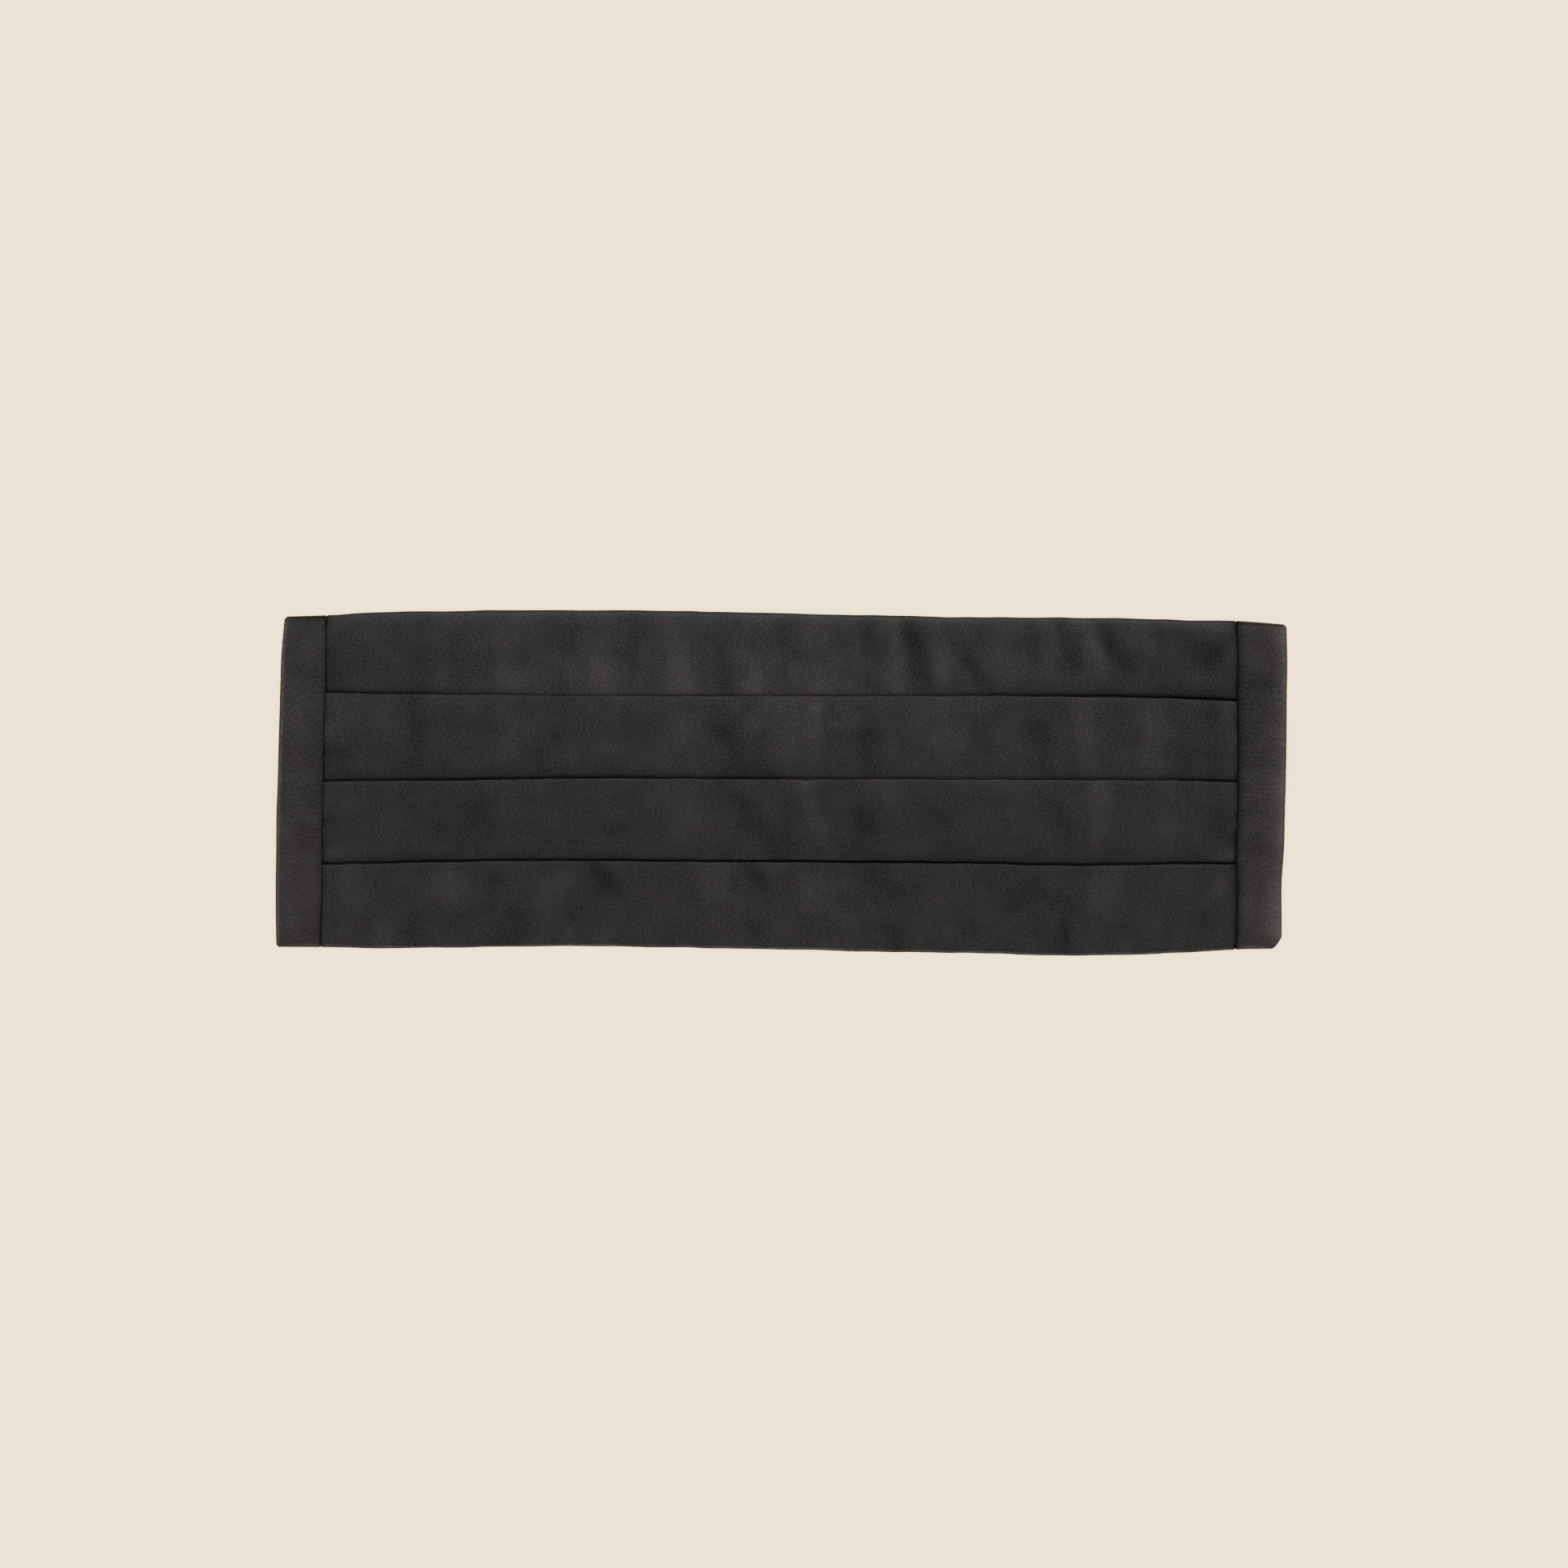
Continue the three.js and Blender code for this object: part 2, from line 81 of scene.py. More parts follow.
class EndLine(NamedTuple):
    """Edge and seam of both bands at one height, as shares of the band's width inwards."""

    at: float
    left_edge: float
    left_seam: float
    right_seam: float
    right_edge: float


class Ripple(NamedTuple):
    """A soft crest of a pleat, or a furrow where the height is below 0. Place, reach to its left and
    right and height in mm; `mid` and `span` are shares of the pleat down from its fold, and `lean`
    is how far it runs to the right from the fold to the foot, in mm."""

    pleat: int
    at: float
    left: float
    right: float
    height: float
    mid: float
    span: float
    lean: float = 0.0


class Pucker(NamedTuple):
    """A small pull of the cloth at a seam: its height on the panel, size and depth in mm."""

    side: Side
    at: float
    size: float
    depth: float


class BandSwell(NamedTuple):
    """A soft swell right across a band, or a hollow where the height is below 0, in mm."""

    side: Side
    at: float
    reach: float
    height: float


class Crevice(NamedTuple):
    """How far the three pleat lines gape at one station, from 0, pressed shut, to 1."""

    at: float
    line1: float
    line2: float
    line3: float


OUTLINE = [Outline(*row) for row in (
    (0.0, 0.48, 0.268, 0.008, -0.235, -0.478), (0.05, 0.485, 0.266, 0.008, -0.233, -0.479),
    (0.1, 0.4925, 0.261, 0.009, -0.23, -0.482), (0.2, 0.499, 0.26, 0.012, -0.224, -0.479),
    (0.3, 0.5, 0.257, 0.017, -0.222, -0.4755), (0.4, 0.498, 0.257, 0.017, -0.224, -0.479),
    (0.5, 0.491, 0.257, 0.0145, -0.226, -0.485), (0.6, 0.485, 0.257, 0.016, -0.2275, -0.491),
    (0.7, 0.4795, 0.2565, 0.0145, -0.2305, -0.496), (0.8, 0.478, 0.253, 0.013, -0.236, -0.503),
    (0.9, 0.47, 0.246, 0.0095, -0.232, -0.4945), (0.95, 0.4685, 0.2405, 0.006, -0.2325, -0.4855),
    (1.0, 0.4575, 0.237, 0.005, -0.2325, -0.483),
)]

ENDS = [EndLine(*row) for row in (
    (-0.5, 0.015, 0.9, 1.03, 0.1), (-0.44, 0.005, 0.91, 1.02, 0.1), (-0.33, 0.0, 0.945, 1.01, 0.1),
    (-0.22, 0.015, 0.947, 1.035, 0.055), (-0.11, 0.022, 0.957, 1.01, 0.04),
    (0.0, 0.048, 0.968, 0.998, 0.02), (0.15, 0.075, 0.985, 1.0, 0.005), (0.26, 0.094, 1.01, 1.01, -0.003),
    (0.38, 0.118, 1.02, 1.0, -0.014), (0.5, 0.18, 1.02, 1.02, 0.0),
)]

# How far each band's corner is cut away along the long edge and across it, in shares of its width.
CORNERS = {
    (Side.LEFT, True): (0.07, 0.07),
    (Side.LEFT, False): (0.06, 0.05),
    (Side.RIGHT, True): (0.07, 0.07),
    (Side.RIGHT, False): (0.2, 0.24),
}

# The crests and furrows of each pleat, counted from the top: each row is a Ripple without its `pleat`.
# The crests are also painted lighter and the furrows darker, as painted highlight and painted shade.
RIPPLE_ROWS = {
    1: (
        (-104, 8, 8, 0.24, 0.45, 0.8), (-79, 5, 5, 0.24, 0.82, 0.35), (-66, 14, 14, 0.24, 0.85, 0.35),
        (-54, 5, 5, 0.18, 0.82, 0.35), (-138, 9, 8, -0.22, 0.65, 0.7), (-153, 5, 5, 0.1, 0.88, 0.25),
        (-122, 9, 8, -0.14, 0.75, 0.4), (-99, 17, 15, 0.24, 0.88, 0.3), (-97, 14, 12, 0.16, 0.2, 0.45),
        (-80, 6, 6, -0.2, 0.4, 0.8), (-70, 11, 9, 0.26, 0.6, 0.9), (-56, 6, 6, -0.16, 0.45, 0.7),
        (-40, 10, 9, 0.46, 0.75, 0.9, 8), (-22, 6, 6, -0.36, 0.88, 0.6, 2), (-10, 8, 7, 0.36, 0.82, 0.4),
        (-9, 9, 8, 0.18, 0.2, 0.4), (1, 5, 4, -0.14, 0.6, 0.8), (12, 10, 12, 0.3, 0.1, 0.5),
        (14, 9, 8, 0.24, 0.85, 0.4, 2), (34, 6, 5, -0.26, 0.45, 0.8, 5), (43, 4, 5, 0.28, 0.5, 1.0, 2),
        (51, 6, 6, -0.46, 0.5, 1.0, 6), (60, 5, 6, 0.34, 0.6, 0.9, 4), (70, 6, 6, -0.36, 0.72, 0.5, 17),
        (85, 8, 7, 0.22, 0.6, 0.8, 4), (95, 4, 5, -0.18, 0.4, 0.7, 2), (102, 5, 5, 0.16, 0.5, 0.7),
        (110, 6, 6, -0.36, 0.4, 0.6, 9), (119, 4, 5, 0.42, 0.4, 0.5, 9),
        (128, 7, 7, -0.44, 0.45, 0.6, 16), (138, 6, 6, 0.14, 0.3, 0.4), (145, 5, 5, -0.22, 0.25, 0.4, 6),
        (162, 14, 16, -0.5, 0.5, 0.36, 12), (146, 16, 12, -0.18, 0.9, 0.3),
    ),
    2: (
        (12, 6, 6, 0.3, 0.7, 0.5), (162, 9, 8, -0.25, 0.15, 0.3), (-138, 8, 8, -0.24, 0.4, 0.8, 2),
        (-104, 16, 14, 0.1, 0.5, 0.5), (-84, 6, 6, -0.12, 0.6, 0.6), (-67, 11, 10, 0.18, 0.35, 0.6),
        (-39, 12, 11, 0.24, 0.45, 0.8), (-20, 8, 8, -0.32, 0.5, 0.9, 8), (1, 9, 11, 0.26, 0.55, 0.6),
        (13, 6, 5, 0.4, 0.25, 0.4), (33, 10, 10, -0.24, 0.5, 0.9, 4), (62, 13, 13, 0.28, 0.5, 0.8, -2),
        (84, 6, 5, 0.1, 0.7, 0.5), (96, 7, 8, -0.18, 0.5, 0.9, 2), (102, 3, 3, -0.2, 0.97, 0.15),
        (110, 3, 3, -0.2, 0.95, 0.15), (115, 6, 7, 0.32, 0.45, 0.9, 3), (127, 7, 6, -0.12, 0.4, 0.7),
        (140, 7, 8, 0.28, 0.6, 0.8, -2), (161, 15, 12, -0.16, 0.45, 0.8),
    ),
    3: (
        (-127, 8, 8, -0.2, 0.12, 0.3), (-38, 8, 8, -0.2, 0.12, 0.3), (3, 7, 7, -0.24, 0.58, 0.5),
        (-162, 12, 12, 0.12, 0.2, 0.35), (-120, 22, 18, -0.2, 0.5, 0.6),
        (-60, 16, 12, -0.1, 0.65, 0.5, 4), (-36, 16, 15, 0.26, 0.4, 0.8, 10),
        (-9, 8, 8, -0.3, 0.5, 0.8, 22), (10, 6, 6, 0.5, 0.1, 0.13), (11, 6, 6, 0.34, 0.3, 0.12),
        (14, 6, 6, 0.26, 0.6, 0.4, 10), (31, 9, 10, -0.26, 0.55, 0.6, 2), (41, 9, 9, 0.18, 0.15, 0.25),
        (58, 12, 11, -0.16, 0.5, 0.45), (84, 18, 16, 0.12, 0.15, 0.35), (108, 9, 6, -0.14, 0.6, 0.6),
        (119, 5, 9, 0.34, 0.3, 0.9), (121, 7, 6, 0.2, 0.15, 0.2), (143, 15, 12, 0.16, 0.5, 0.7),
        (165, 8, 8, -0.12, 0.55, 0.5),
    ),
    4: (
        (-165, 8, 8, 0.2, 0.75, 0.4), (-46, 8, 8, 0.18, 0.7, 0.4), (3, 9, 9, 0.2, 0.85, 0.35),
        (108, 8, 8, -0.2, 0.55, 0.5), (-163, 12, 12, 0.24, 0.3, 0.6), (-150, 8, 7, 0.22, 0.85, 0.35),
        (-138, 6, 6, -0.14, 0.75, 0.4), (-125, 11, 10, 0.36, 0.27, 0.32),
        (-103, 14, 14, -0.22, 0.72, 0.45), (-108, 5, 7, -0.14, 0.2, 0.4, 4),
        (-86, 12, 11, 0.28, 0.3, 0.35), (-60, 8, 8, -0.44, 0.18, 0.36, 22),
        (-76, 8, 9, -0.28, 0.58, 0.26, -8), (-80, 6, 5, 0.26, 0.92, 0.2), (-67, 6, 6, 0.26, 0.92, 0.2),
        (-41, 5, 4, -0.22, 0.92, 0.25), (-27, 11, 10, 0.36, 0.22, 0.34, -8), (-22, 9, 9, 0.24, 0.98, 0.2),
        (-2, 7, 6, -0.42, 0.15, 0.34, 20), (-9, 8, 8, -0.12, 0.7, 0.3), (15, 13, 11, 0.2, 0.3, 0.4),
        (20, 13, 14, 0.26, 0.97, 0.2), (44, 12, 11, -0.32, 0.2, 0.5, 20), (43, 7, 7, -0.22, 0.8, 0.35),
        (63, 8, 8, 0.16, 0.45, 0.6), (92, 24, 18, -0.12, 0.35, 0.8), (107, 6, 6, -0.36, 0.78, 0.36),
        (119, 5, 14, 0.26, 0.4, 0.7), (130, 7, 5, 0.2, 0.95, 0.2), (137, 5, 6, -0.14, 0.9, 0.2),
        (150, 4, 4, 0.24, 0.85, 0.25), (160, 8, 7, -0.16, 0.7, 0.35), (167, 7, 6, 0.22, 0.25, 0.35),
    ),
}
RIPPLES = [Ripple(pleat, *row) for pleat, rows in RIPPLE_ROWS.items() for row in rows]

# Each pucker is also painted darker, as painted shade.
PUCKERS = [Pucker(side, *row) for side, rows in {
    Side.LEFT: (
        (44.5, 3.0, 0.35), (49.5, 2.2, 0.22), (40.0, 2.2, 0.3), (11.5, 3.2, 0.3), (5.5, 2.4, 0.2),
        (-14.5, 2.4, 0.3), (-27.0, 3.0, 0.15), (-51.0, 2.6, 0.2),
    ),
    Side.RIGHT: (
        (-12.5, 3.0, 0.35), (-20.5, 3.0, 0.25), (21.0, 3.0, 0.15), (-45.0, 3.4, 0.15),
    ),
}.items() for row in rows]

# How far a line gapes also sets how dark its slit and hollow are painted, as painted shade.
CREVICES = [Crevice(*row) for row in (
    (0.0, 0.8, 0.7, 0.7), (0.08, 0.65, 0.7, 0.65), (0.18, 0.3, 0.9, 0.9), (0.27, 0.0, 0.75, 0.8),
    (0.36, 0.0, 0.8, 0.9), (0.41, 0.1, 0.55, 0.85), (0.47, 0.1, 0.85, 0.95), (0.54, 0.15, 0.35, 1.0),
    (0.63, 0.15, 0.35, 1.05), (0.7, 0.45, 0.2, 1.0), (0.79, 0.9, 0.3, 0.75), (0.86, 1.0, 0.4, 0.8),
    (0.92, 1.15, 0.8, 1.0), (1.0, 1.2, 1.0, 1.0),
)]

# A band's cloth rises by 0.4 of each swell's height; the full height paints it lighter over a swell and
# darker in a hollow, as painted highlight and painted shade.
BAND_SWELLS = (
    BandSwell(Side.LEFT, 8, 25, -0.1),
    BandSwell(Side.LEFT, -38, 14, 0.1),
    BandSwell(Side.RIGHT, 28, 17, -0.28),
    BandSwell(Side.RIGHT, -52, 18, 0.2),
    BandSwell(Side.RIGHT, 62, 8, 0.2),
)

# How far each band's outer edge curves down and over what reach, in mm.
DROOPS = {Side.LEFT: (0.12, 3.0), Side.RIGHT: (0.85, 8.5)}

# How much painted highlight each band's outer fold gets.
EDGE_SHINES = {Side.LEFT: 0.0, Side.RIGHT: 0.5}

# How dark the painted shade at the fold of each band's seam is, from 0 to 1, and how far that reaches, in
# mm.
SEAM_SHADES = {Side.LEFT: (0.35, 0.5), Side.RIGHT: (0.75, 1.0)}


def linear(sheet_hex: str) -> tuple[float, float, float, float]:
    """Turns an sRGB hex colour, six digits with a leading #, into linear RGBA with alpha 1."""
    shares = [int(sheet_hex[i:i + 2], 16) / 255 for i in (1, 3, 5)]
    return (*[s / 12.92 if s <= 0.04045 else ((s + 0.055) / 1.055) ** 2.4 for s in shares], 1.0)


def add_node(
    tree: bpy.types.NodeTree, kind: str, values: dict | None = None, **settings: object
) -> bpy.types.Node:
    """Adds one node, with its settings and with values or links on its inputs.

    Args:
        tree: The tree that the node goes into.
        kind: The node's type.
        values: A value, or another node's output, for each input by name or number.
        **settings: Properties of the node.

    Returns:
        The new node.
    """
    node = tree.nodes.new(kind)
    for name, value in settings.items():
        setattr(node, name, value)
    for socket, value in (values or {}).items():
        if isinstance(value, bpy.types.NodeSocket):
            tree.links.new(value, node.inputs[socket])
        else:
            node.inputs[socket].default_value = value
    return node


def put(name: str, data: bpy.types.ID) -> bpy.types.Object:
    """Puts something into the scene.

    Args:
        name: The object's name.
        data: Its mesh, light or camera.

    Returns:
        The object.
    """
    made = bpy.data.objects.new(name, data)
    bpy.context.scene.collection.objects.link(made)
    return made


def smoothed(mesh: bpy.types.Mesh) -> None:
    """Shades all faces of a mesh smooth."""
    mesh.polygons.foreach_set("use_smooth", [True] * len(mesh.polygons))


def applied(piece: bpy.types.Object) -> bpy.types.Mesh:
    """Makes a piece's modifiers part of its mesh.

    Args:
        piece: The object.

    Returns:
        Its new mesh, shaded smooth.
    """
    result = bpy.data.meshes.new_from_object(piece.evaluated_get(bpy.context.evaluated_depsgraph_get()))
    piece.modifiers.clear()
    piece.data = result
    smoothed(result)
    return result


def smoothstep(low: float, high: float, value: Array) -> Array:
    """The share of the way from low to high, eased at both ends."""
    share = np.clip((value - low) / (high - low), 0.0, 1.0)
    return share * share * (3 - 2 * share)


def mix(first: Array, second: Array, share: Array) -> Array:
    """The blend of two values."""
    return first + (second - first) * share


def fading(away: Array, reach: float) -> Array:
    """1 at no distance, falling off evenly in ratio, to about a third at `reach`."""
    return np.exp(-away / reach)


def bell(away: Array, reach: float) -> Array:
    """1 in the middle, falling off softly on both sides, to about a third at `reach`."""
    return np.exp(-((away / reach) ** 2))


def half_turn(steps: int) -> tuple[Array, Array]:
    """Points round half a turn between its ends: how far up each is and how far out, from 0 to 1."""
    angle = np.linspace(0, math.pi, steps)[1:-1]
    return (1 - np.cos(angle)) / 2, np.sin(angle)


def smooth_curve(at: Array, rows: list[tuple], column: int) -> Array:
    """Reads a smooth curve that runs through a table's column.

    Args:
        at: Where to read it.
        rows: The table, whose first column says where each row is.
        column: The column that is read.

    Returns:
        The curve's height at each place.
    """
    numbers = np.array(rows, float)
    knots, values = numbers[:, 0], numbers[:, column]
    at = np.clip(at, knots[0], knots[-1])
    i = np.clip(np.searchsorted(knots, at, side="right") - 1, 0, len(knots) - 2)
    order = np.arange(len(knots))
    after, before = np.minimum(order + 1, len(knots) - 1), np.maximum(order - 1, 0)
    slopes = (values[after] - values[before]) / (knots[after] - knots[before])
    span = knots[i + 1] - knots[i]
    t = (at - knots[i]) / span
    ends = mix(values[i], values[i + 1], t * t * (3 - 2 * t))
    return ends + t * (1 - t) ** 2 * span * slopes[i] + t * t * (t - 1) * span * slopes[i + 1]


def drift(place: Array, pitch: float, seed: int) -> Array:
    """A smooth random line from about -1 to 1, the same on every run.

    Args:
        place: Where to read it, in millimetres.
        pitch: Distance between its turning points.
        seed: Which line.

    Returns:
        Its value at each place.
    """
    heights = np.random.RandomState(seed).uniform(-1, 1, 512)
    cell = place / pitch + 200
    low = np.floor(cell).astype(int)
    return mix(heights[low % 512], heights[(low + 1) % 512], smoothstep(0, 1, cell - low))


def mottle(x: Array, y: Array, pitch: float, seed: int) -> Array:
    """A smooth random field over the panel from about -1 to 1, the same on every run.

    Args:
        x: Places along the length, in millimetres.
        y: Places across it.
        pitch: Size of one swell.
        seed: Which field.

    Returns:
        Its value at each place.
    """
    heights = np.random.RandomState(seed).uniform(-1, 1, (64, 64))
    across, up = x / pitch + 30.3, y / pitch + 30.7
    i, j = np.floor(across).astype(int), np.floor(up).astype(int)
    s, t = smoothstep(0, 1, across - i), smoothstep(0, 1, up - j)
    near = mix(heights[i % 64, j % 64], heights[(i + 1) % 64, j % 64], s)
    far = mix(heights[i % 64, (j + 1) % 64], heights[(i + 1) % 64, (j + 1) % 64], s)
    return mix(near, far, t)


@dataclass(frozen=True)
class Plan:
    """The plan that all pieces share, with the same sizes as the solids."""

    length: float = 382.8
    height: float = 130.6
    pleats: int = 4
    band_width: float = 18.6
    strap_width: float = 30.0
    strap_thickness: float = 1.0
    strap_shift: float = -4.0
    strap_inset: float = 7.0
    clasp_length: float = 36.0
    clasp_width: float = 35.0
    clasp_thickness: float = 3.4
    clasp_shift: float = 8.0
    clasp_wall: float = 0.9
    slot_depth: float = 9.0
    clearance: float = 0.3
    bridge: float = 24.0
    strap_margin: float = 2.0
    clasp_margin: float = 3.0
    cloth: float = 0.5

    @property
    def row(self) -> float:
        """Height of one pleat in the even section."""
        return self.height / self.pleats

    @property
    def seam(self) -> float:
        """Nominal distance of both seams from the middle."""
        return self.length / 2 - self.band_width

    def outline_y(self, x: Array, across: Array) -> Array:
        """The true height of a place across the even section, whose pleats are all one row high.

        Args:
            x: Places along the length.
            across: Places across the even section.

        Returns:
            The heights.
        """
        level = np.clip(across / self.row + self.pleats / 2, 0, self.pleats)
        i = np.minimum(np.floor(level).astype(int), self.pleats - 1)
        lines = np.stack([smooth_curve(x / self.length + 0.5, OUTLINE, k) for k in (5, 4, 3, 2, 1)])
        below = np.take_along_axis(lines, i[None], 0)[0]
        above = np.take_along_axis(lines, i[None] + 1, 0)[0]
        return self.height * mix(below, above, level - i)

    def end_x(self, side: Side, seam: bool, y: Array) -> Array:
        """Where a band's seam, or else its outer edge, lies along the length at each height."""
        column = (2 if seam else 1) if side is Side.LEFT else (3 if seam else 4)
        inwards = self.band_width * smooth_curve(y / self.height, ENDS, column)
        return side.value * (self.length / 2 - inwards)

    def carried(self, x: Array, y: Array) -> Array:
        """How high cloth is lifted by the strap and the clasp under it.

        Args:
            x: Places along the length.
            y: Heights on the panel.

        Returns:
            The lift.
        """
        aside, along = np.abs(y - self.strap_shift), np.abs(x - self.clasp_shift)
        over_strap, over_clasp, beside_clasp = [
            1 - smoothstep(half, half + self.bridge, away)
            for half, away in (
                (self.strap_width / 2 + self.strap_margin, aside),
                (self.clasp_width / 2 + self.strap_margin, aside),
                (self.clasp_length / 2 + self.clasp_margin, along),
            )
        ]
        strap = (self.strap_thickness + self.clearance) * over_strap
        return mix(strap, self.clasp_thickness + self.clearance, over_clasp * beside_clasp)

    def corner_cut(self, side: Side, x: Array, across: Array) -> Array:
        """The share of the height that is left at a band's corner.

        Args:
            side: Which band.
            x: Places along the length.
            across: Places across the even section.

        Returns:
            Factors for the height.
        """
        inwards = np.abs(self.end_x(side, False, across) - x)
        limit = np.abs(self.outline_y(x, np.where(across > 0, 1, -1) * self.height / 2))
        reach, depth = [
            np.where(across > 0, CORNERS[side, True][k], CORNERS[side, False][k]) * self.band_width
            for k in (0, 1)
        ]
        return 1 - depth * np.maximum(1 - inwards / reach, 0) ** 1.5 / limit


PLAN = Plan()


@dataclass
class Weft:
    """Rows of points round a tube of cloth, and what its mesh is made from."""

    name: str
    points: Array
    along: Array
    around: Array
    # depth is painted shade at each point, and the field after the caps is painted highlight and shade.
    depth: Array
    caps: list
    sheen: Array | None = None

    def quads(self) -> Array:
        """Joins each ring to the next, each closed on itself.

        Returns:
            The faces.
        """
        rings, count = self.points.shape[:2]
        here = np.arange(count)
        after = (here + 1) % count
        first = (np.arange(rings - 1) * count)[:, None]
        faces = np.stack([first + here, first + after, first + count + after, first + count + here], -1)
        return faces.reshape(-1, 4)

    def corners(self) -> Array:
        """Lays the faces out flat.

        Returns:
            The place on the flat cloth of each corner of the faces, in metres.
        """
        rings, count = self.points.shape[:2]
        u = np.broadcast_to(self.along[:, None], (rings, count))
        v0, v1 = [np.broadcast_to(v, (rings - 1, count)) for v in (self.around[:-1], self.around[1:])]
        near, far = u[:-1], u[1:]
        pairs = [np.stack(p, -1) for p in ((near, v0), (near, v1), (far, v1), (far, v0))]
        return np.stack(pairs, 2).reshape(-1, 2) * MM

    def build(self) -> bpy.types.Object:
        """Makes the closed mesh, with smooth faces, its flat map, and its attributes of painted shade and
        painted highlight.

        Returns:
            The piece.
        """
        faces = self.quads()
        mesh = bpy.data.meshes.new(self.name)
        mesh.from_pydata((self.points.reshape(-1, 3) * MM).tolist(), [], faces.tolist() + self.caps)
        flat = mesh.uv_layers.new(name="flat")
        values = np.zeros((len(mesh.loops), 2), np.float32)
        values[:faces.size] = self.corners()
        flat.data.foreach_set("uv", values.ravel())
        sheen = self.depth * 0 if self.sheen is None else self.sheen
        # Store the painted shade and the painted highlight and shade for the material.
        for name, worth in (("depth", self.depth), ("sheen", sheen)):
            shade = mesh.attributes.new(name, "FLOAT", "POINT")
            shade.data.foreach_set("value", worth.ravel().astype(np.float32))
        smoothed(mesh)
        outwards(mesh)
        return put(self.name, mesh)


def outwards(mesh: bpy.types.Mesh) -> None:
    """Turns a closed mesh's faces outwards, if they point in.

    Args:
        mesh: The mesh.
    """
    work = bmesh.new()
    work.from_mesh(mesh)
    inside_out = work.calc_volume(signed=True) < 0
    work.free()
    if inside_out:
        mesh.flip_normals()


def distances(points: Array) -> Array:
    """How far round a closed ring each point is, and at the end the whole way round."""
    step = np.linalg.norm(np.diff(points, axis=0, append=points[:1]), axis=1)
    return np.concatenate([[0], np.cumsum(step)])


def new_material(name: str) -> tuple[bpy.types.Material, bpy.types.NodeTree]:
    """Makes an empty material.

    Args:
        name: What the real material is.

    Returns:
        The material and its node tree.
    """
    made = bpy.data.materials.new(name)
    made.use_nodes = True
    made.node_tree.nodes.clear()
    return made, made.node_tree


@dataclass(frozen=True)
class SatinFinish:
    """Polyester satin, piece-dyed black: warp floats lie side by side and give a soft gloss. On top of
    it a painted highlight makes the cloth paler and glossier along its crests and folds, and painted
    shade makes it darker in its furrows, crevices and seams. The grain is the floats themselves,
    0.15 mm apart on the real cloth and drawn 0.55 mm apart, because finer doesn't show."""

    name: str
    weave: Weave
    colour: str = "#0c0a0a"
    pale: str = "#252121"
    # The colour that the painted shade in crevices, seams and under the bands darkens the cloth to.
    painted_shade_colour: str = "#040303"
    roughness: float = 0.44
    uneven: float = 0.04
    gloss: float = 0.44
    grain: float = 0.55
    patch: float = 12.0
    patchy: float = 0.08
    # How far the painted highlight and shade of the crests, furrows and folds move the tone and gloss.
    crest: float = 0.45
    relief: float = 0.012

    def material(self) -> bpy.types.Material:
        """Builds the cloth's nodes.

        Returns:
            The material.
        """
        made, tree = new_material(self.name)
        flat = add_node(tree, "ShaderNodeUVMap", uv_map="flat").outputs[0]
        turned = add_node(tree, "ShaderNodeMapping", {"Vector": flat, "Scale": (*self.weave.value, 1)})
        floats = add_node(tree, "ShaderNodeTexNoise", {
            "Vector": turned.outputs[0], "Scale": 1 / (self.grain * MM), "Detail": 2.0,
            "Roughness": 0.6}).outputs["Fac"]
        patches = add_node(tree, "ShaderNodeTexNoise", {
            "Vector": flat, "Scale": 1 / (self.patch * MM), "Detail": 3.0, "Roughness": 0.55})
        spread = add_node(tree, "ShaderNodeMapRange", {
            "Value": floats, "From Min": 0.05, "From Max": 0.95}).outputs[0]
        shift = add_node(tree, "ShaderNodeMapRange", {
            "Value": patches.outputs["Fac"], "From Min": 0.3, "From Max": 0.7,
            "To Min": -self.patchy, "To Max": self.patchy})
        # Painted highlight and shade: a per-point attribute, with random patches added, moves the tone
        # towards the pale colour and raises the gloss on crests and folds, and does the opposite in
        # furrows.
        sheen = add_node(tree, "ShaderNodeAttribute", attribute_name="sheen")
        painted_light_and_patches = add_node(tree, "ShaderNodeMath", {
            0: sheen.outputs["Fac"], 1: self.crest, 2: shift.outputs[0]}, operation="MULTIPLY_ADD")
        share = add_node(tree, "ShaderNodeMath", {0: spread, 1: painted_light_and_patches.outputs[0]},
                         operation="ADD", use_clamp=True).outputs[0]
        tone_mix = add_node(tree, "ShaderNodeMix", {
            0: share, 6: linear(self.colour), 7: linear(self.pale)}, data_type="RGBA")
        # Painted shade: the depth attribute darkens the colour and takes away the gloss in crevices, slits,
        # seams, puckers and under the bands.
        depth = add_node(tree, "ShaderNodeAttribute", attribute_name="depth").outputs["Fac"]
        shaded = add_node(tree, "ShaderNodeMix", {
            0: depth, 6: tone_mix.outputs[2], 7: linear(self.painted_shade_colour)}, data_type="RGBA")
        rough = add_node(tree, "ShaderNodeMapRange", {
            "Value": spread, "To Min": self.roughness + self.uneven,
            "To Max": self.roughness - self.uneven})
        shine = add_node(tree, "ShaderNodeMath", {0: share, 1: self.gloss}, operation="MULTIPLY")
        shaded_gloss = add_node(tree, "ShaderNodeMix", {0: depth, 2: shine.outputs[0], 3: 0.0})
        bump = add_node(tree, "ShaderNodeBump", {
            "Height": floats, "Strength": 1.0, "Distance": self.relief * MM})
        surface = add_node(tree, "ShaderNodeBsdfPrincipled", {
            "Base Color": shaded.outputs[2], "Roughness": rough.outputs[0], "Normal": bump.outputs[0],
            "IOR": 1.5, "Specular IOR Level": shaded_gloss.outputs[0]})
        add_node(tree, "ShaderNodeOutputMaterial", {"Surface": surface.outputs[0]})
        return made


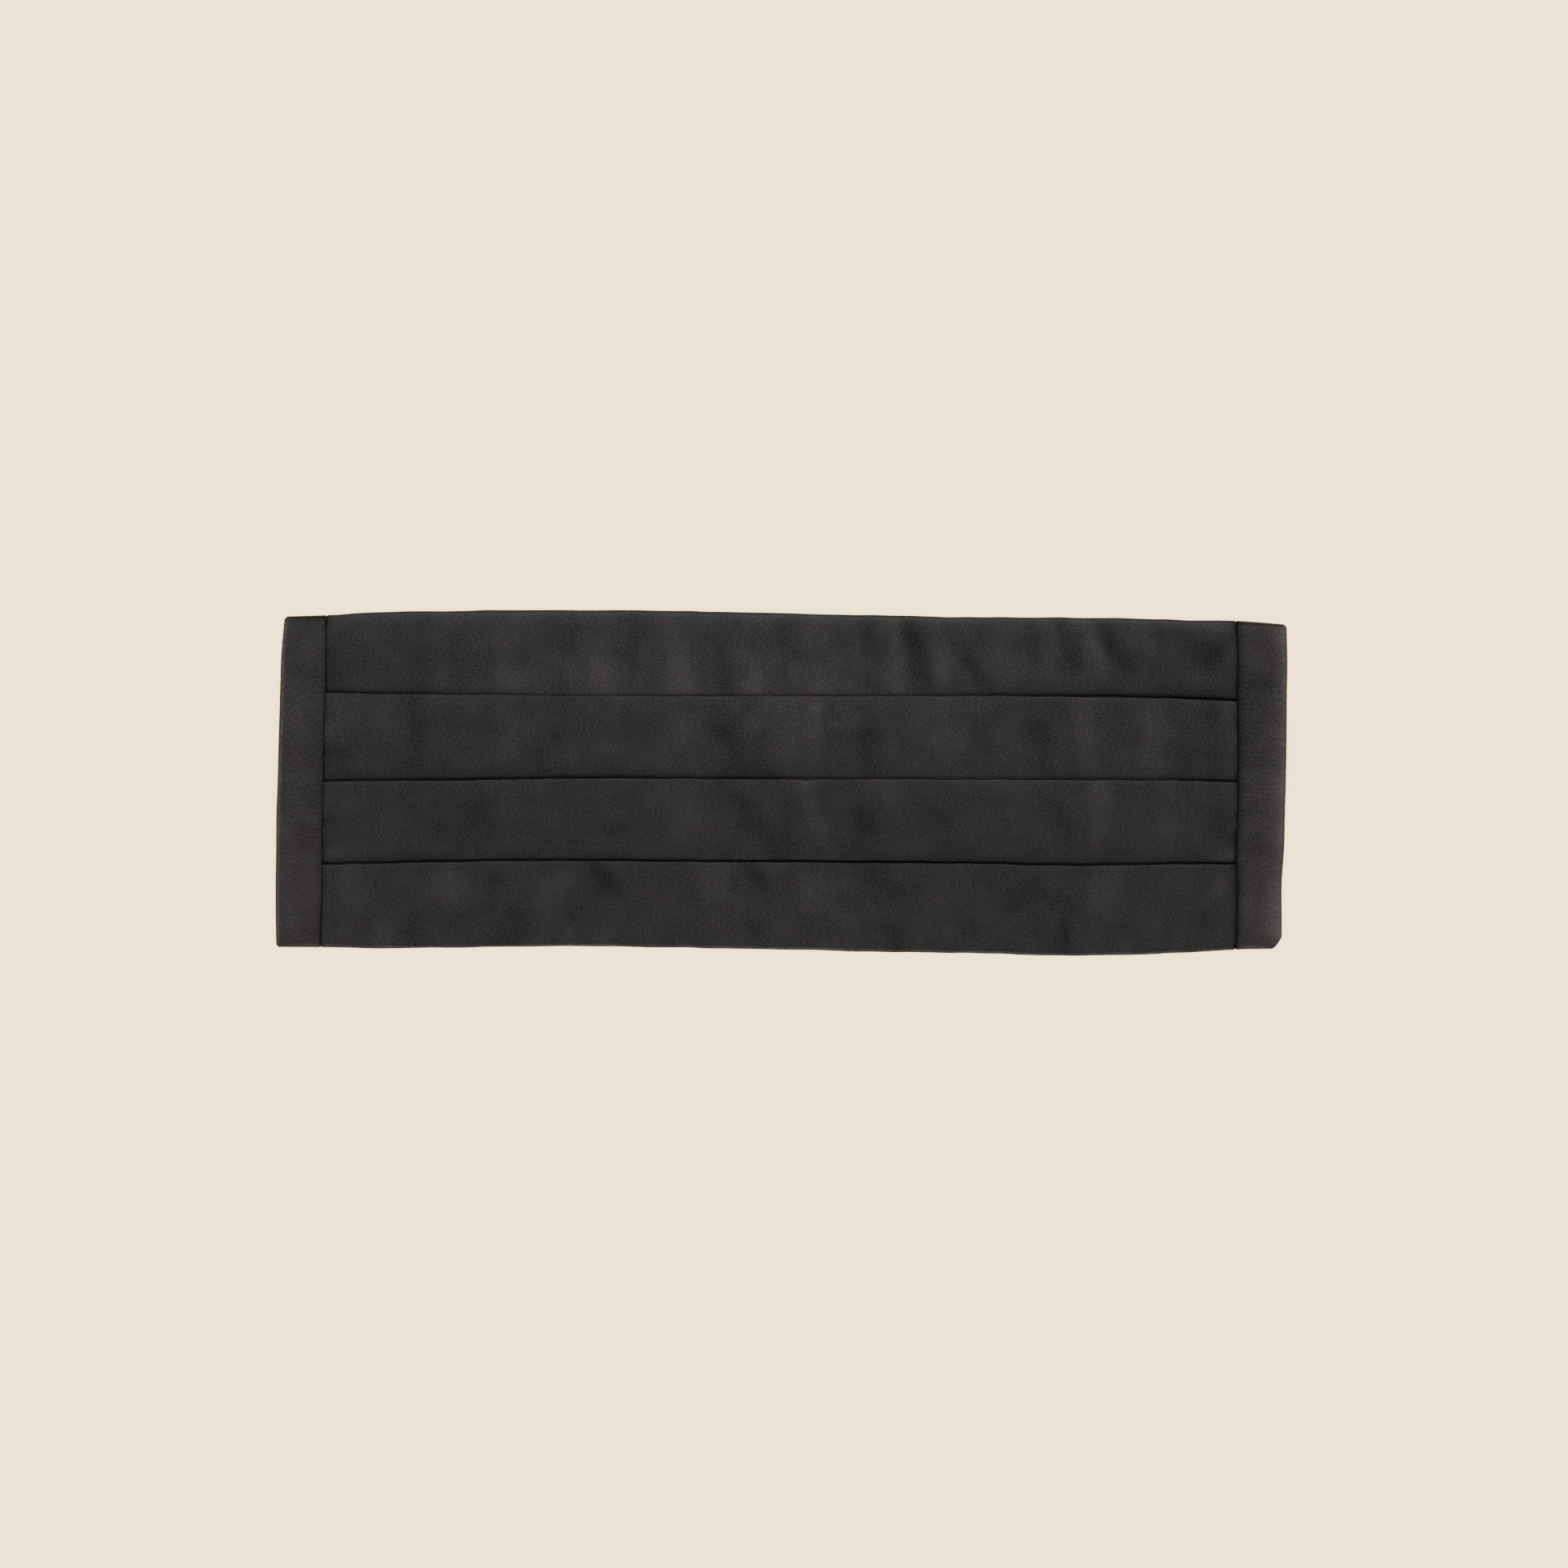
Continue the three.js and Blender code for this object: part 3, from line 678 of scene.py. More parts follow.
@dataclass(frozen=True)
class WebbingFinish:
    """Black polyester ribbed tape: matte, with ribs across it every 1.2 mm and a fine yarn grain."""

    name: str = "woven_polyester_tape"
    colour: str = "#151516"
    pale: str = "#29292b"
    grain: float = 0.5
    relief: float = 0.08

    def material(self) -> bpy.types.Material:
        """Builds the tape's nodes.

        Returns:
            The material.
        """
        made, tree = new_material(self.name)
        flat = add_node(tree, "ShaderNodeUVMap", uv_map="flat").outputs[0]
        ribs = add_node(tree, "ShaderNodeTexWave", {
            "Vector": flat, "Scale": 2 * math.pi / (20 * Strap.rib * MM), "Distortion": 0.6,
            "Detail": 2.0, "Detail Scale": 3.0}, bands_direction="X")
        yarn = add_node(tree, "ShaderNodeTexNoise", {
            "Vector": flat, "Scale": 1 / (self.grain * MM), "Detail": 2.0})
        share = add_node(tree, "ShaderNodeMath", {0: ribs.outputs["Fac"], 1: yarn.outputs["Fac"]},
                         operation="MULTIPLY", use_clamp=True).outputs[0]
        tone_mix = add_node(tree, "ShaderNodeMix", {
            0: share, 6: linear(self.colour), 7: linear(self.pale)}, data_type="RGBA")
        bump = add_node(tree, "ShaderNodeBump", {
            "Height": share, "Strength": 0.8, "Distance": self.relief * MM})
        surface = add_node(tree, "ShaderNodeBsdfPrincipled", {
            "Base Color": tone_mix.outputs[2], "Roughness": 0.85, "Normal": bump.outputs[0], "IOR": 1.5,
            "Sheen Weight": 0.15})
        add_node(tree, "ShaderNodeOutputMaterial", {"Surface": surface.outputs[0]})
        return made


@dataclass(frozen=True)
class NylonFinish:
    """Black moulded nylon: a fine spark-eroded grain from the mould, rubbed a little smoother on the
    high places, which gives a broad soft highlight."""

    name: str = "moulded_black_nylon"
    colour: str = "#141415"
    pale: str = "#222224"
    grain: float = 0.4
    patch: float = 9.0
    relief: float = 0.03

    def material(self) -> bpy.types.Material:
        """Builds the nylon's nodes.

        Returns:
            The material.
        """
        made, tree = new_material(self.name)
        place = add_node(tree, "ShaderNodeTexCoord").outputs["Object"]
        spark = add_node(tree, "ShaderNodeTexNoise", {
            "Vector": place, "Scale": 1 / (self.grain * MM), "Detail": 4.0})
        rubbed = add_node(tree, "ShaderNodeTexNoise", {
            "Vector": place, "Scale": 1 / (self.patch * MM), "Detail": 3.0}).outputs["Fac"]
        tone_mix = add_node(tree, "ShaderNodeMix", {
            0: rubbed, 6: linear(self.colour), 7: linear(self.pale)}, data_type="RGBA")
        gloss = add_node(tree, "ShaderNodeMapRange", {
            "Value": rubbed, "From Min": 0.35, "From Max": 0.65, "To Min": 0.5, "To Max": 0.36})
        bump = add_node(tree, "ShaderNodeBump", {
            "Height": spark.outputs["Fac"], "Strength": 0.5, "Distance": self.relief * MM})
        surface = add_node(tree, "ShaderNodeBsdfPrincipled", {
            "Base Color": tone_mix.outputs[2], "Roughness": gloss.outputs[0], "Normal": bump.outputs[0],
            "IOR": 1.53})
        add_node(tree, "ShaderNodeOutputMaterial", {"Surface": surface.outputs[0]})
        return made


@dataclass(frozen=True)
class ThreadFinish:
    """Spun polyester thread, black: two plies twisted, so it is matte with a slight pale edge."""

    name: str = "spun_polyester_thread"
    colour: str = "#1c1b1c"
    pale: str = "#39373a"
    grain: float = 0.25

    def material(self) -> bpy.types.Material:
        """Builds the thread's nodes.

        Returns:
            The material.
        """
        made, tree = new_material(self.name)
        place = add_node(tree, "ShaderNodeTexCoord").outputs["Object"]
        plies = add_node(tree, "ShaderNodeTexNoise", {
            "Vector": place, "Scale": 1 / (self.grain * MM), "Detail": 1.0})
        tone_mix = add_node(tree, "ShaderNodeMix", {
            0: plies.outputs["Fac"], 6: linear(self.colour), 7: linear(self.pale)}, data_type="RGBA")
        surface = add_node(tree, "ShaderNodeBsdfPrincipled", {
            "Base Color": tone_mix.outputs[2], "Roughness": 0.75, "IOR": 1.5, "Sheen Weight": 0.2})
        add_node(tree, "ShaderNodeOutputMaterial", {"Surface": surface.outputs[0]})
        return made


@dataclass(frozen=True)
class PaperFinish:
    """Matte cream backdrop paper on a light table: an even tone with the faintest tooth, lit a little
    from below, so that it stays as pale as in the photo and takes hardly any shadow."""

    name: str = "cream_backdrop_paper"
    colour: str = "#efcf9c"
    glow: float = 3.42
    grain: float = 1.5
    relief: float = 0.02

    def material(self) -> bpy.types.Material:
        """Builds the paper's nodes.

        Returns:
            The material.
        """
        made, tree = new_material(self.name)
        place = add_node(tree, "ShaderNodeTexCoord").outputs["Object"]
        tooth = add_node(tree, "ShaderNodeTexNoise", {
            "Vector": place, "Scale": 1 / (self.grain * MM), "Detail": 2.0})
        bump = add_node(tree, "ShaderNodeBump", {
            "Height": tooth.outputs["Fac"], "Strength": 0.1, "Distance": self.relief * MM})
        surface = add_node(tree, "ShaderNodeBsdfPrincipled", {
            "Base Color": linear(self.colour), "Roughness": 0.95, "Normal": bump.outputs[0],
            "Specular IOR Level": 0.1, "Emission Color": linear(self.colour),
            "Emission Strength": self.glow})
        add_node(tree, "ShaderNodeOutputMaterial", {"Surface": surface.outputs[0]})
        return made


def dress(piece: bpy.types.Object, material: bpy.types.Material) -> None:
    """Gives a piece its one material."""
    piece.data.materials.clear()
    piece.data.materials.append(material)


class Point(NamedTuple):
    """One point of the pleated cloth's middle line, seen from the end of the panel.

    `across` and `z` are its place in mm, `pleat` is the pleat that it moves with and `down` its share
    of the way down that pleat. `own` and `taken` say how much it follows that pleat's ripples and
    those of the pleat before, `near` how near a pleat line it is, which sinks it and paints shade
    there, `slit` how far inside the line it is, which sets only its painted shade, `room` how much
    space a furrow has below it, `rim` how much painted highlight a fold gets, `front` whether it
    belongs to the front, and `even` how far a seam gathers it up.
    """

    across: float
    z: float
    pleat: int
    down: float
    own: float = 0.0
    taken: float = 0.0
    near: float = 0.0
    slit: float = 0.0
    room: float = 0.0
    rim: float = 0.0
    front: float = 1.0
    even: float = 0.0


@dataclass
class PleatedFront:
    """The pleated cloth: a plain back, turned over the top edge into four pleats, each of which runs
    on under the next and folds back up over its own tail, and turned under again at the foot."""

    # The layers: heights above the underside, and how far each pleat runs on under the next.
    back_level: float = 0.25
    pleat_level: float = 1.7
    layer_pitch: float = 0.6
    underlap: float = 11.0
    tail_gap: float = 1.5
    rings_step: float = 1.3

    # How the front lies: its waves, its slack over what is below, and how much lower its lines lie.
    undulation: float = 0.07
    # How far the crests and furrows may paint highlight and shade.
    painted_light_limit: float = 0.8
    open_reach: float = 16.0
    slack: float = 0.85
    sag: float = 0.5
    strap_reach: float = 60.0
    clasp_rise: float = 2.4
    clasp_reach: tuple = (48.0, 40.0)

    # The pleat lines: depth and reach of the hollow beside each, and how dark the painted shade in its slit
    # is.
    crevice_depth: float = 0.3
    crevice_reach: float = 2.2
    slit_reach: float = 0.45
    slit_shut: float = 0.08
    slit_open: float = 0.15
    far_line: float = 99.0

    # The ends: how the cloth is evened, drawn in and pressed where it goes into a band.
    gather: float = 9.0
    gathered: float = 0.75
    even_reach: float = 15.0
    narrowing: float = 5.0
    band_lift: float = 0.55
    band_press: float = 0.1
    tuck_in: float = 0.1
    hidden: float = 2.4

    # The seams: their dip, their puckers, and how dark the painted shade at the left and the right one is.
    seam_dip: float = 0.1
    pull_limit: float = 0.4
    fine_pull: float = 0.1
    painted_seam_shade: tuple = (0.5, 0.75)
    seam_reach: float = 0.9

    # Strength and reach of the painted highlight along the top edge and along the other folds.
    edge_shine: tuple = (1.1, 1.8)
    fold_shine: tuple = (0.3, 0.8)

    @property
    def fold_level(self) -> float:
        """Height of the cloth's middle at the fold of a pleat."""
        return self.pleat_level + 2 * self.layer_pitch

    @property
    def turn_radius(self) -> float:
        """Radius of the cloth's middle round the fold of a pleat."""
        return self.layer_pitch / 2

    @property
    def inset(self) -> float:
        """How far below the top of its fold the front of a pleat starts."""
        return PLAN.cloth / 2 + self.turn_radius

    @property
    def edge_radius(self) -> float:
        """Radius of the cloth's middle round the two long edges."""
        return (self.pleat_level - self.back_level) / 2

    @property
    def edge(self) -> float:
        """How far the flat back reaches from the middle, up to the turn at each long edge."""
        return PLAN.height / 2 - PLAN.cloth / 2 - self.edge_radius

    def fall(self, pleat: Array | int, down: Array | float) -> Array:
        """Height of the cloth's middle on the front of a pleat.

        Args:
            pleat: Which pleat, counted from the top.
            down: Distance down from its fold.

        Returns:
            The heights above the underside.
        """
        share = np.clip(down / PLAN.row, 0, 1)
        level = 1 - 0.5 * share - 0.5 * smoothstep(0, 1, share)
        even = mix(self.pleat_level, np.where(pleat > 1, self.fold_level, self.pleat_level), level)
        reach, drop = np.where(pleat > 1, 1.6, 3.4), np.where(pleat > 1, 0.05, 0.2)
        return even - drop * np.maximum(1 - down / reach, 0) ** 2

    def evened(self, pleat: Array | int, down: Array | float) -> Array:
        """How far the front of a pleat is gathered up at a seam, where the layers are sewn level.

        Args:
            pleat: Which pleat, counted from the top.
            down: Distance down from its fold.

        Returns:
            The lift.
        """
        above_foot = smoothstep(0.2, self.gather, PLAN.row - down)
        below_edge = np.where(pleat > 1, 1.0, smoothstep(0.5, 6.0, down))
        return self.gathered * (self.fold_level - self.fall(pleat, down)) * above_foot * below_edge

    def seam_top(self, across: Array) -> Array:
        """Height of the front's surface above the underside at a seam.

        Args:
            across: Places across the even section.

        Returns:
            The heights.
        """
        from_top = np.clip(PLAN.pleats / 2 - across / PLAN.row, 0, PLAN.pleats - 1e-6)
        pleat = np.floor(from_top) + 1
        down = (from_top - pleat + 1) * PLAN.row
        return self.fall(pleat, down) + self.evened(pleat, down) + PLAN.cloth / 2

    def carry(self, down: float) -> float:
        """How much a hidden layer still follows the layer that it touches, `down` from a fold."""
        return float(1 - smoothstep(0.0, self.underlap, down))

    def face(self, pleat: int) -> list[Point]:
        """The front of a pleat, from its fold to its foot.

        Args:
            pleat: Which pleat, counted from the top.

        Returns:
            The points. The fold of the first is the top edge, which gets the most painted highlight.
        """
        first, last = pleat == 1, pleat == PLAN.pleats
        lip = PLAN.height / 2 - (pleat - 1) * PLAN.row
        start = PLAN.height / 2 - self.edge if first else self.inset
        finish = PLAN.row - (PLAN.height / 2 - self.edge) if last else PLAN.row
        middle = np.linspace(start + 1.6, finish - 3.0, 13)
        close = finish - np.array([2.2, 1.5, 0.9, 0.45, 0.0])
        shine, reach = self.edge_shine if first else self.fold_shine
        points = []
        for down in (start, start + 0.5, *middle, *close):
            away = self.far_line if last else PLAN.row - down
            points.append(Point(
                lip - down, float(self.fall(pleat, down)), pleat, down / PLAN.row, own=1.0,
                taken=0.0 if first else self.carry(down),
                near=0.75 * fading(away, self.crevice_reach) + 0.25 * bell(away, 0.8),
                slit=bell(away, self.slit_reach),
                room=1.0 if first else float(smoothstep(11.0, 18.0, down)),
                rim=shine * fading(down, reach),
                even=float(self.evened(pleat, down))))
        return points

    def tuck(self, pleat: int) -> list[Point]:
        """The hidden layers below the foot of a pleat: its tail, and the way back up to the next fold.

        Args:
            pleat: The pleat above, counted from the top.

        Returns:
            The points, as far as the top of the next pleat.
        """
        after = pleat + 1
        foot = PLAN.height / 2 - pleat * PLAN.row
        tail, gap = foot - self.underlap, foot - self.tail_gap
        under = self.pleat_level + self.layer_pitch
        carried = self.carry(self.tail_gap)
        points = [
            Point(gap, self.pleat_level, pleat, 1.0, own=carried, near=0.3, room=1.0),
            Point(tail, self.pleat_level, pleat, 1.0)]
        for share, out in zip(*half_turn(5)):
            z = mix(self.pleat_level, under, share)
            points.append(Point(tail - self.turn_radius * out, z, pleat, 1.0))
        points += [
            Point(tail, under, after, 0.0),
            Point(gap, under, after, 0.0, taken=carried),
            Point(foot - self.inset, under, after, 0.0, taken=1.0)]
        fold = float(self.fall(after, self.inset))
        # Round the next fold, whose hidden underside is painted dark, as painted shade.
        for share, out in zip(*half_turn(9)):
            points.append(Point(
                foot - self.inset + self.turn_radius * out, mix(under, fold, share), after, 0.0, own=share,
                taken=1.0, near=max(0.0, 0.7 - 1.4 * share), slit=max(0.0, 0.9 - 1.8 * share)))
        return points

    def section(self) -> dict[str, Array]:
        """The middle line of the cloth in the even section.

        Returns:
            The fields of its points as columns, and the pleat line that each point lies beside.
        """
        edge, last = self.edge, PLAN.pleats
        back = np.linspace(-edge, edge, 16)
        points = [Point(across, self.back_level, 1, 0.5, front=0.0) for across in back]
        top = float(self.fall(1, PLAN.height / 2 - edge))
        # Round the top edge, which is painted lighter as it turns to the front, as painted highlight.
        for share, out in zip(*half_turn(8)):
            points.append(Point(
                edge + self.edge_radius * out, mix(self.back_level, top, share), 1, 0.0, own=share,
                room=1.0, rim=share, front=share))
        for pleat in range(1, last + 1):
            points += self.face(pleat)
            if pleat < last:
                points += self.tuck(pleat)
        for share, out in zip(*half_turn(8)):
            points.append(Point(
                -edge - self.edge_radius * out, mix(self.pleat_level, self.back_level, share), last, 1.0,
                own=1 - share, room=1.0, front=1 - share))
        line = dict(zip(Point._fields, np.array(points, float).T))
        line["beside"] = line["pleat"] - ((line["down"] == 0) & (line["pleat"] > 1))
        return line

    def ripple(self, x: Array, pleat: Array, down: Array) -> Array:
        """The lift of the soft crests.

        Args:
            x: Places along the length.
            pleat: The pleat of each place, counted from the top.
            down: The share of the pleat down from its fold.

        Returns:
            The lift.
        """
        lift = np.zeros(np.broadcast(x, pleat, down).shape)
        for fold in RIPPLES:
            away = x - fold.at - fold.lean * (down - 0.5)
            away = np.abs(np.where(away < 0, away / fold.left, away / fold.right))
            swell = np.cos(np.minimum(away, 1) * math.pi / 2) ** 2
            window = np.cos(np.minimum(np.abs(down - fold.mid) / fold.span, 1) * math.pi / 2) ** 2
            lift += np.where(pleat == fold.pleat, fold.height * swell * window, 0)
        return lift

    def stations(self) -> Array:
        """Where the rings lie along the length, close together near both seams.

        Returns:
            Their nominal places.
        """
        before = [-5.6, -4.6, -3.7, -2.9, -2.2, -1.6, -1.1, -0.7, -0.35]
        near = PLAN.seam + np.array([*before, 0, 0.4, 1.0, 1.7, self.hidden])
        middle = PLAN.seam - 6.8
        inner = np.linspace(-middle, middle, int(2 * middle / self.rings_step))
        return np.concatenate([-near[::-1], inner, near])

    def lay(self, x0: Array, across: Array) -> tuple[Array, Array, Array]:
        """Takes the even section to the panel's true outline and pleat lines.

        Args:
            x0: Nominal places along the length.
            across: Places across the even section.

        Returns:
            The places along and across, and how far inside the nearer seam they are.
        """
        left, right = [PLAN.end_x(side, True, across) for side in Side]
        seam = np.where(x0 < 0, -left, right)
        out = np.abs(x0)
        x = np.where(x0 < 0, -1, 1) * (out + (seam - PLAN.seam) * smoothstep(100, PLAN.seam, out))
        to_seam = seam - np.abs(x)
        tucked = (1 - smoothstep(-0.3, 1.2, to_seam)) * (PLAN.cloth + self.tuck_in)
        y = PLAN.outline_y(x, across) * (1 - tucked / PLAN.outline_y(x, across * 0 + PLAN.height / 2))
        wander = 0.16 * drift(x, 21.0, 5) + 0.1 * drift(x, 7.0, 6)
        wander = wander + 0.05 * across / PLAN.row * drift(x, 13.0, 7)
        sag = self.sag * (1 - (across / (PLAN.height / 2)) ** 4)
        return x, y + wander * smoothstep(0.6, self.narrowing, to_seam) - sag, to_seam

    def front_lift(self, x: Array, y: Array, back: Array, to_seam: Array) -> Array:
        """How high the front is carried: softer and wider than the back over the strap and clasp.

        Args:
            x: Places along the length.
            y: Heights on the panel.
            back: The lift of the back there.
            to_seam: Distance to the nearer seam.

        Returns:
            The lift.
        """
        aside, along = np.abs(y - PLAN.strap_shift), np.abs(x - PLAN.clasp_shift)
        strap = 1 - smoothstep(0, self.strap_reach, aside)
        long, wide = self.clasp_reach
        clasp = self.clasp_rise * np.exp(-((along / long) ** 2.5)) * np.exp(-((aside / wide) ** 3))
        least = back - self.slack
        soft = strap + clasp
        soft = (soft + least + np.sqrt((soft - least) ** 2 + 0.2 ** 2)) / 2
        return mix(back, soft, smoothstep(4, 40, to_seam))

    def pulls(self, side: Array, y: Array, beyond: Array) -> Array:
        """How deep the puckers at the seams are, fanning out and fading away from them.

        Args:
            side: -1 on the left half, 1 on the right.
            y: Heights on the panel.
            beyond: Distance from the seam, inwards.

        Returns:
            The depths.
        """
        total = np.zeros_like(y)
        for tuck in PUCKERS:
            deep = np.where(side == tuck.side.value, tuck.depth, 0)
            total += deep * bell(y - tuck.at, tuck.size * (0.5 + beyond / 6)) * fading(beyond, 4.0)
        return total

    def place(self, x0: Array, line: dict[str, Array], offset: float) -> tuple[Array, Array, Array]:
        """Every point of one face of the cloth.

        Args:
            x0: Nominal stations.
            line: The section.
            offset: Distance of the face from the cloth's middle, outwards positive.

        Returns:
            The points, station by station, how much painted shade each one gets in crevices and at
            seams, and its painted highlight and shade.
        """
        middle = np.stack([line["across"], line["z"]], -1)
        way = np.roll(middle, -1, 0) - np.roll(middle, 1, 0)
        way /= np.linalg.norm(way, axis=1, keepdims=True)
        x0, across = np.broadcast_arrays(x0[:, None], (line["across"] + way[:, 1] * offset)[None, :])
        x, y, to_seam = self.lay(x0, across)
        side, beyond = np.where(x0 < 0, -1, 1), np.maximum(to_seam, 0)
        into = 1 - smoothstep(0.6, self.narrowing, to_seam)
        inside = 1 - smoothstep(-1.2, 0.6, to_seam)
        front, pleat, down = line["front"], line["pleat"], line["down"]

        # Soft waves, the open stretches of the pleat lines and the puckers of the seams.
        crests = self.ripple(x, pleat, down)
        waves = crests + self.undulation * (mottle(x, y, 9.0, 3) + 1.4 * mottle(x, y, 22.0, 4))
        own = (np.maximum(waves, 0) + np.minimum(waves, 0) * line["room"]) * line["own"]
        taken = self.ripple(x, pleat - 1, np.ones_like(down)) * line["taken"]
        share = x / PLAN.length + 0.5
        gape = sum(np.where(line["beside"] == k, smooth_curve(share, CREVICES, k), 0) for k in (1, 2, 3))
        slit = line["slit"] * (self.slit_shut + self.slit_open * np.minimum(gape, 1))
        gape = gape * line["near"]
        pulls = self.pulls(side, y, beyond)
        fine = self.fine_pull * drift(y + side * 300, 2.1, 9) * fading(beyond, 2.0)
        sewn = np.minimum(pulls, self.pull_limit) + self.seam_dip * bell(to_seam, 0.8) + fine

        # Heights.
        back = PLAN.carried(x, y)
        z = line["z"] - way[:, 0] * offset + mix(back, self.front_lift(x, y, back, to_seam), front)
        z = z + (own + taken) * smoothstep(0.0, self.open_reach, to_seam)
        z = z + line["even"] * (1 - smoothstep(1.0, self.even_reach, to_seam))
        z = z - gape * self.crevice_depth * (1 - into)
        z = z - front * line["own"] * sewn * (1 - inside)
        z = z + into * np.where(front < 0.5, self.band_lift, -self.band_press)

        # Painted shade in the crevices, slits, seams and puckers and under the bands, painted highlight on
        # the crests and folds, and painted shade in the furrows.
        reach = self.seam_reach * (1 + 0.5 * drift(y + side * 300, 3.4, 15))
        # The painted shade along the left seam is broken up into small nicks.
        nicked_shade = np.where(side < 0, 1 + 0.7 * drift(y, 1.9, 16), 1)
        shade = np.where(side < 0, *self.painted_seam_shade) * nicked_shade * fading(beyond, reach)
        shade = np.maximum(shade, 0.95 * bell(to_seam, 0.4))
        # Under a band the cloth is painted fully dark, and the puckers are painted darker.
        shade = np.where(inside > 0.99, 1, shade + pulls * 1.3) * front * line["own"]
        depth = np.clip(np.maximum((slit + gape * 0.8) * smoothstep(0.0, 0.5, to_seam), shade), 0, 1)
        # Painted highlight on the crests, painted shade in the furrows, fading out at the seams, and
        # painted highlight on the folds.
        sheen = np.clip(crests, -self.painted_light_limit, self.painted_light_limit) * smoothstep(0.0, 8.0, to_seam)
        sheen = sheen + line["rim"]
        return np.stack([x, y, z], -1), depth, sheen * front * line["own"]

    def build(self) -> bpy.types.Object:
        """Makes the cloth, closed at both ends between its two faces.

        Returns:
            The piece.
        """
        line = self.section()
        x0 = self.stations()
        outer, depth, sheen = self.place(x0, line, PLAN.cloth / 2)
        inner = self.place(x0, line, -PLAN.cloth / 2)[0]
        rings, along, depth, sheen = [
            np.concatenate([near, far[::-1]])
            for near, far in ((outer, inner), (x0, x0), (depth, depth), (sheen, sheen))
        ]
        count = rings.shape[1]
        last = (len(rings) - 1) * count
        caps = [[last + i, last + (i + 1) % count, (i + 1) % count, i] for i in range(count)]
        around = distances(np.stack([line["across"], line["z"]], -1))
        return Weft("pleats", rings, along, around, depth, caps, sheen).build()


